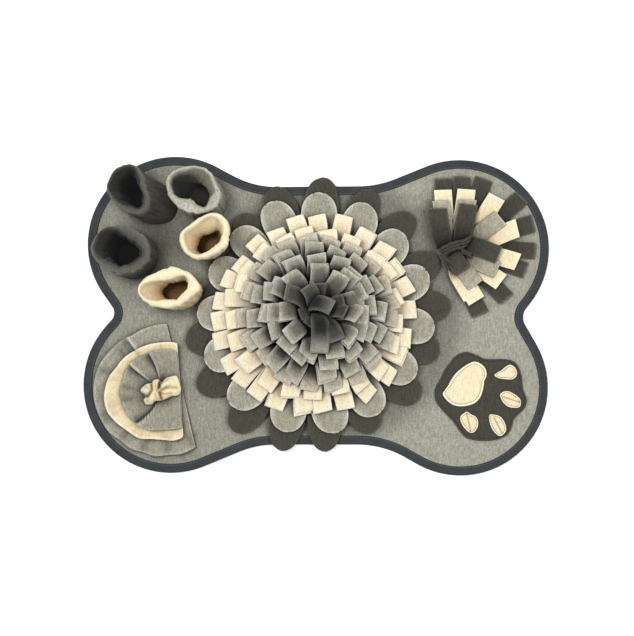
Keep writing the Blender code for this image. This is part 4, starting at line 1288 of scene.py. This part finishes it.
def ruffle_underside(layer, angle, distance):
    """Height of a ruffle's underside in millimetres, over all the layers below it."""
    height = RUFFLE_BOTTOM
    for k, (*_, rise, hem, pleats) in enumerate(RUFFLE_LAYERS[: layer + 1]):
        share = min(1.0, distance / hem[0][1])
        lift = rise * smooth_step(share)
        for pleat in pleats:
            before, after, tall, begins = pleat[2:]
            off = off_pleat(pleat, angle, share)
            away = off / after if off > 0 else -off / before
            lift += tall * smooth_step(1 - away) * smooth_step(
                (share - begins) / (1 - begins) * 1.6)
        height += lift
        if k < layer:
            height += RUFFLE_CLOTH + RUFFLE_GAP
    return height


def pleat_shade(layer, angle, share):
    """The painted highlight on the sharp fold of a pleat, and the painted shade on the cloth that
    it shades or in its crease, in a layer.
    """
    pale = dark = 0.0
    for pleat in RUFFLE_LAYERS[layer][-1]:
        before, after, tall, begins = pleat[2:]
        off = off_pleat(pleat, angle, share) * (-1 if before < after else 1)
        there = smooth_step((share - begins) / 0.15)
        if min(before, after) < SHARP_PLEAT:
            pale = max(pale, 0.85 * smooth_step(1 - abs(off) / 2.2) * there)
            if off > 1:
                dark = max(dark, min(0.95, tall / 7.5) * smooth_step(1 - (off - 1) / 20) * there)
        else:
            away = max(0.0, abs(off) - min(before, after) * 0.6) / 10
            dark = max(dark, (0.22 if layer == 1 else 0.45) * there
                       * max(0.0, 1 - abs(away - 0.6) * 1.6))
    return pale, dark


class SNUFFLE_OT_ruffle(bpy.types.Operator):
    """Makes the three pleated layers of the ruffle and the bow"""

    bl_idname = "snuffle.make_ruffle"
    bl_label = "Ruffle"

    def execute(self, context):
        for layer in range(len(RUFFLE_LAYERS)):
            self.make_layer(layer)
        self.make_bow()
        return {"FINISHED"}

    def make_layer(self, layer):
        name, key = RUFFLE_LAYERS[layer][:2]
        # A painted shade darkens the upper layers a little all over.
        painted_shade_all_over = 0.0 if layer == 0 else 0.12
        (gather_size, gather_far), (size, far) = RUFFLE_GATHERS, RUFFLE_SWELL
        cloth = ClothMesh()
        # The middle, under the bow, is in painted shade.
        middle = cloth.vertex(RUFFLE + UP * ruffle_underside(layer, 0, 0) * MM, 0, 0.8)
        reaches = [ruffle_reach(layer, angle) for angle in RUFFLE_ANGLES]
        rings = []
        for share in RUFFLE_SHARES:
            ring = []
            for angle, reach in zip(RUFFLE_ANGLES, reaches):
                x, y = turned(share * reach, 0, angle)
                around = Vector((*turned(1, 0, angle), layer))
                gather = gather_far * wobble(around, gather_size, layer)
                z = ruffle_underside(layer, angle, share * reach)
                z += gather * math.sin(math.pi * share ** 0.7)
                place = RUFFLE + Vector((x, y, z)) * MM
                place.z += far * wobble(place, size, layer) * share
                pale, dark = pleat_shade(layer, angle, share)
                # A painted shade round the bow, reaching further out between 140 and 240 degrees.
                near_bow = 0.75 * (1 - smooth_step(share / (0.95 if 140 < angle < 240 else 0.6)))
                if share > HEM_BEGINS:
                    pale = max(pale, HEM_PALE[key])
                ring.append(cloth.vertex(place, pale, min(1.0, max(dark, near_bow) + painted_shade_all_over)))
            rings.append(ring)
        for a, b in zip(rings[0], rings[0][1:] + rings[0][:1]):
            cloth.bm.faces.new((middle, a, b))
        cloth.skin(rings)
        made = cloth.piece(name, key, sharp=None, face_up=True)
        thicken(made, RUFFLE_CLOTH * MM, soft=False)

    def make_bow(self):
        """The gathered knot of cloth in the ruffle's middle."""
        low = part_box("ruffle_bow")[0].z / MM
        path = rounded_outline(BOW_OUTLINE)
        middle = Vector(BOW_MIDDLE)
        cloth = ClothMesh()
        rings = []
        for share, height, pale in BOW_SECTIONS:
            ring = []
            for point in path:
                flat = middle.lerp(point, share)
                dip = min(crease_depth(flat, BOW_CREASES), height * 0.75)
                uneven = swell(Vector((*flat, 0)), BOW_SWELLS) if height > 4 else 0
                z = low + height - dip + uneven
                # A painted shade in the creases, and a little all over.
                ring.append(cloth.vertex(BOW_AT + Vector((*flat, z)) * MM, pale,
                                         min(0.9, 0.05 + dip / 4.5)))
            rings.append(ring)
        cloth.skin(rings, ends=True)
        made = cloth.piece("ruffle_bow", "cream", sharp=None)


# ---- paw ----
SEAM_SHARE = 0.72  # height of the cloth where the seam draws it down
PAD_SWELLS = ((9, 4, 0.3),)
PAW_STITCH_PITCH = 3.6 * MM
PAW_STITCH_LENGTH = 2.2 * MM
PAW_THREAD = 0.55 * MM


class SNUFFLE_OT_paw(bpy.types.Operator):
    """Makes the paw patch with its pads, toes and stitches"""

    bl_idname = "snuffle.make_paw"
    bl_label = "Paw patch"

    def execute(self, context):
        self.stitches = ClothMesh()
        self.make_flat("paw_patch", "charcoal", PAW_PATCH, 0.8, 3.0, ())
        self.make_flat("paw_main_pad", "cream", PAW_MAIN_PAD, 1.4, 3.4, ())
        for i, (toe, fold) in enumerate(PAW_TOES):
            self.make_flat(f"paw_toe_{i + 1}", "cream", toe, 1.6, 2.2, ((*fold, 1.1, 1.1),))
        self.stitches.object("paw_stitches", sewing_thread("cream", "8C7857"), "cream")
        return {"FINISHED"}

    def make_flat(self, name, key, points, crown, seam, folds):
        """A cut piece, sewn down by a seam round its edge and a little full in the middle."""
        low, high = (corner.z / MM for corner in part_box(name))
        tall = high - low
        path = rounded_outline(points)
        middle = sum(path, Vector((0, 0))) / len(path)
        rows = [
            # how far in from the edge in millimetres, share of the way out, share of the
            # height, how pale (a painted highlight along the raised edge)
            (0.0, 1.0, 0.0, 0.3), (-0.2, 1.0, 0.45, 0.9), (0.25, 1.0, 0.9, 0.9),
            (0.9, 1.0, 1.0, 0.9), (seam - 0.7, 1.0, 0.95, 0.7), (seam, 1.0, SEAM_SHARE, 0.0),
            (seam + 0.8, 1.0, 0.98, 0.0),
        ]
        for out in (0.88, 0.76, 0.64, 0.52, 0.4, 0.28, 0.16, 0.05):
            rows.append((seam + 0.7, out, 1 + crown / tall * (1 - out ** 2.5), 0.0))
        cloth = ClothMesh()
        rings = []
        for inset, out, share, pale in rows:
            # The cream pieces are a little paler all over, and the charcoal one has no pale edge.
            pale = 0.0 if key == "charcoal" else max(pale, 0.15)
            ring = []
            for point in path:
                flat = middle.lerp(self.drawn_in(point, middle, inset), out)
                dip = crease_depth(flat, folds) if share > 0.7 else 0.0
                rise = swell(Vector((*flat, 0)), PAD_SWELLS) if share > 0.9 else 0.0
                z = low + tall * share - dip + rise
                # A painted shade where the seam draws the cloth down and in the folds; elsewhere a
                # little darker all over.
                deep = 0.5 if share == SEAM_SHARE else 0.03 + dip * 0.6
                ring.append(cloth.vertex(PAW + Vector((*flat, z)) * MM, pale, deep))
            rings.append(ring)
        cloth.skin(rings, ends=True)
        made = cloth.piece(name, key, sharp=None)
        flat, area = flat_size(path)
        if key == "cream":
            line = [PAW + Vector((*self.drawn_in(p, middle, seam), low + tall * 0.8)) * MM
                    for p in path]
            for start, way in along_path(line, PAW_STITCH_PITCH):
                add_stitch(self.stitches, start, way, PAW_STITCH_LENGTH, PAW_THREAD)

    def drawn_in(self, place, middle, inset):
        """A place moved towards the middle."""
        away = place - middle
        return middle + away * (1 - inset / away.length)


# ---- stage ----
CAMERA_DISTANCE = 1.587
CAMERA_ELEVATION = math.radians(87)
CAMERA_TARGET = Vector((0, -0.005, 0.01))
DAYLIGHT = 0.42
WHITE = (1, 1, 1, 1)
PAPER = {"Base Color": linear_colour("FAFAFA"), "Roughness": 1.0, "Specular IOR Level": 0.0,
         "Emission Color": WHITE, "Emission Strength": 0.25}
# name, place, size, power
SOFTBOXES = (
    ("key_softbox", (-0.8, 0.4, 1.65), 0.6, 21.5),
    ("fill_softbox", (1.0, -0.2, 1.3), 0.9, 12.5),
)


class SNUFFLE_OT_stage(bpy.types.Operator):
    """Makes the pale floor, the soft lights and the camera"""

    bl_idname = "snuffle.make_stage"
    bl_label = "Stage"

    def execute(self, context):
        scene = context.scene
        scene.view_settings.view_transform = "Standard"
        self.make_floor(scene)
        self.make_lights(scene)
        self.make_camera(scene)
        return {"FINISHED"}

    def make_floor(self, scene):
        bm = bmesh.new()
        bmesh.ops.create_grid(bm, x_segments=1, y_segments=1, size=4.0)
        mesh = bpy.data.meshes.new("floor")
        bm.to_mesh(mesh)
        bm.free()
        floor = bpy.data.objects.new("floor", mesh)
        floor.location.z = -0.4 * MM
        scene.collection.objects.link(floor)
        material, tree = new_material("matt_white_paper")
        for name, value in PAPER.items():
            tree.nodes["Principled BSDF"].inputs[name].default_value = value
        mesh.materials.append(material)

    def make_lights(self, scene):
        world = bpy.data.worlds.new("soft_daylight")
        world.use_nodes = True
        background = world.node_tree.nodes["Background"]
        background.inputs["Color"].default_value = WHITE
        background.inputs["Strength"].default_value = DAYLIGHT
        scene.world = world
        for name, place, size, power in SOFTBOXES:
            light = bpy.data.lights.new(name, "AREA")
            light.size = size
            light.energy = power
            self.aim(scene, bpy.data.objects.new(name, light), Vector(place), Vector(place))

    def make_camera(self, scene):
        camera = bpy.data.cameras.new("camera")
        camera.lens = 60
        camera.sensor_width = 36
        made = bpy.data.objects.new("camera", camera)
        back = Vector((0, -math.cos(CAMERA_ELEVATION), math.sin(CAMERA_ELEVATION)))
        self.aim(scene, made, CAMERA_TARGET + back * CAMERA_DISTANCE, back)
        scene.camera = made

    def aim(self, scene, made, place, back):
        """Sets an object at its place, facing away from back."""
        made.location = place
        made.rotation_euler = (-back).to_track_quat("-Z", "Y").to_euler()
        scene.collection.objects.link(made)


# ---- panel and registration ----
STEPS = (SNUFFLE_OT_mat, SNUFFLE_OT_petals, SNUFFLE_OT_flower, SNUFFLE_OT_pouches,
         SNUFFLE_OT_corner, SNUFFLE_OT_ruffle, SNUFFLE_OT_paw, SNUFFLE_OT_stage)


class SNUFFLE_PT_panel(bpy.types.Panel):
    """Lists the pieces of the mat"""

    bl_idname = "SNUFFLE_PT_panel"
    bl_label = "Snuffle mat"
    bl_space_type = "VIEW_3D"
    bl_region_type = "UI"
    bl_category = "Snuffle mat"

    def draw(self, context):
        for step in STEPS:
            self.layout.operator(step.bl_idname)


GROUPS = {
    "snuffle_cloth_colours": ClothColours,
    "snuffle_mat_sizes": MatSizes,
    "snuffle_strip_sizes": StripSizes,
}


def register():
    for made in (*GROUPS.values(), *STEPS, SNUFFLE_PT_panel):
        bpy.utils.register_class(made)
    for name, group in GROUPS.items():
        setattr(bpy.types.Scene, name, PointerProperty(type=group))


def unregister():
    for name in GROUPS:
        delattr(bpy.types.Scene, name)
    for made in (SNUFFLE_PT_panel, *reversed(STEPS), *reversed(list(GROUPS.values()))):
        bpy.utils.unregister_class(made)


def main():
    register()
    for step in STEPS:
        group, action = step.bl_idname.split(".")
        getattr(getattr(bpy.ops, group), action)()


if __name__ == "__main__":
    main()
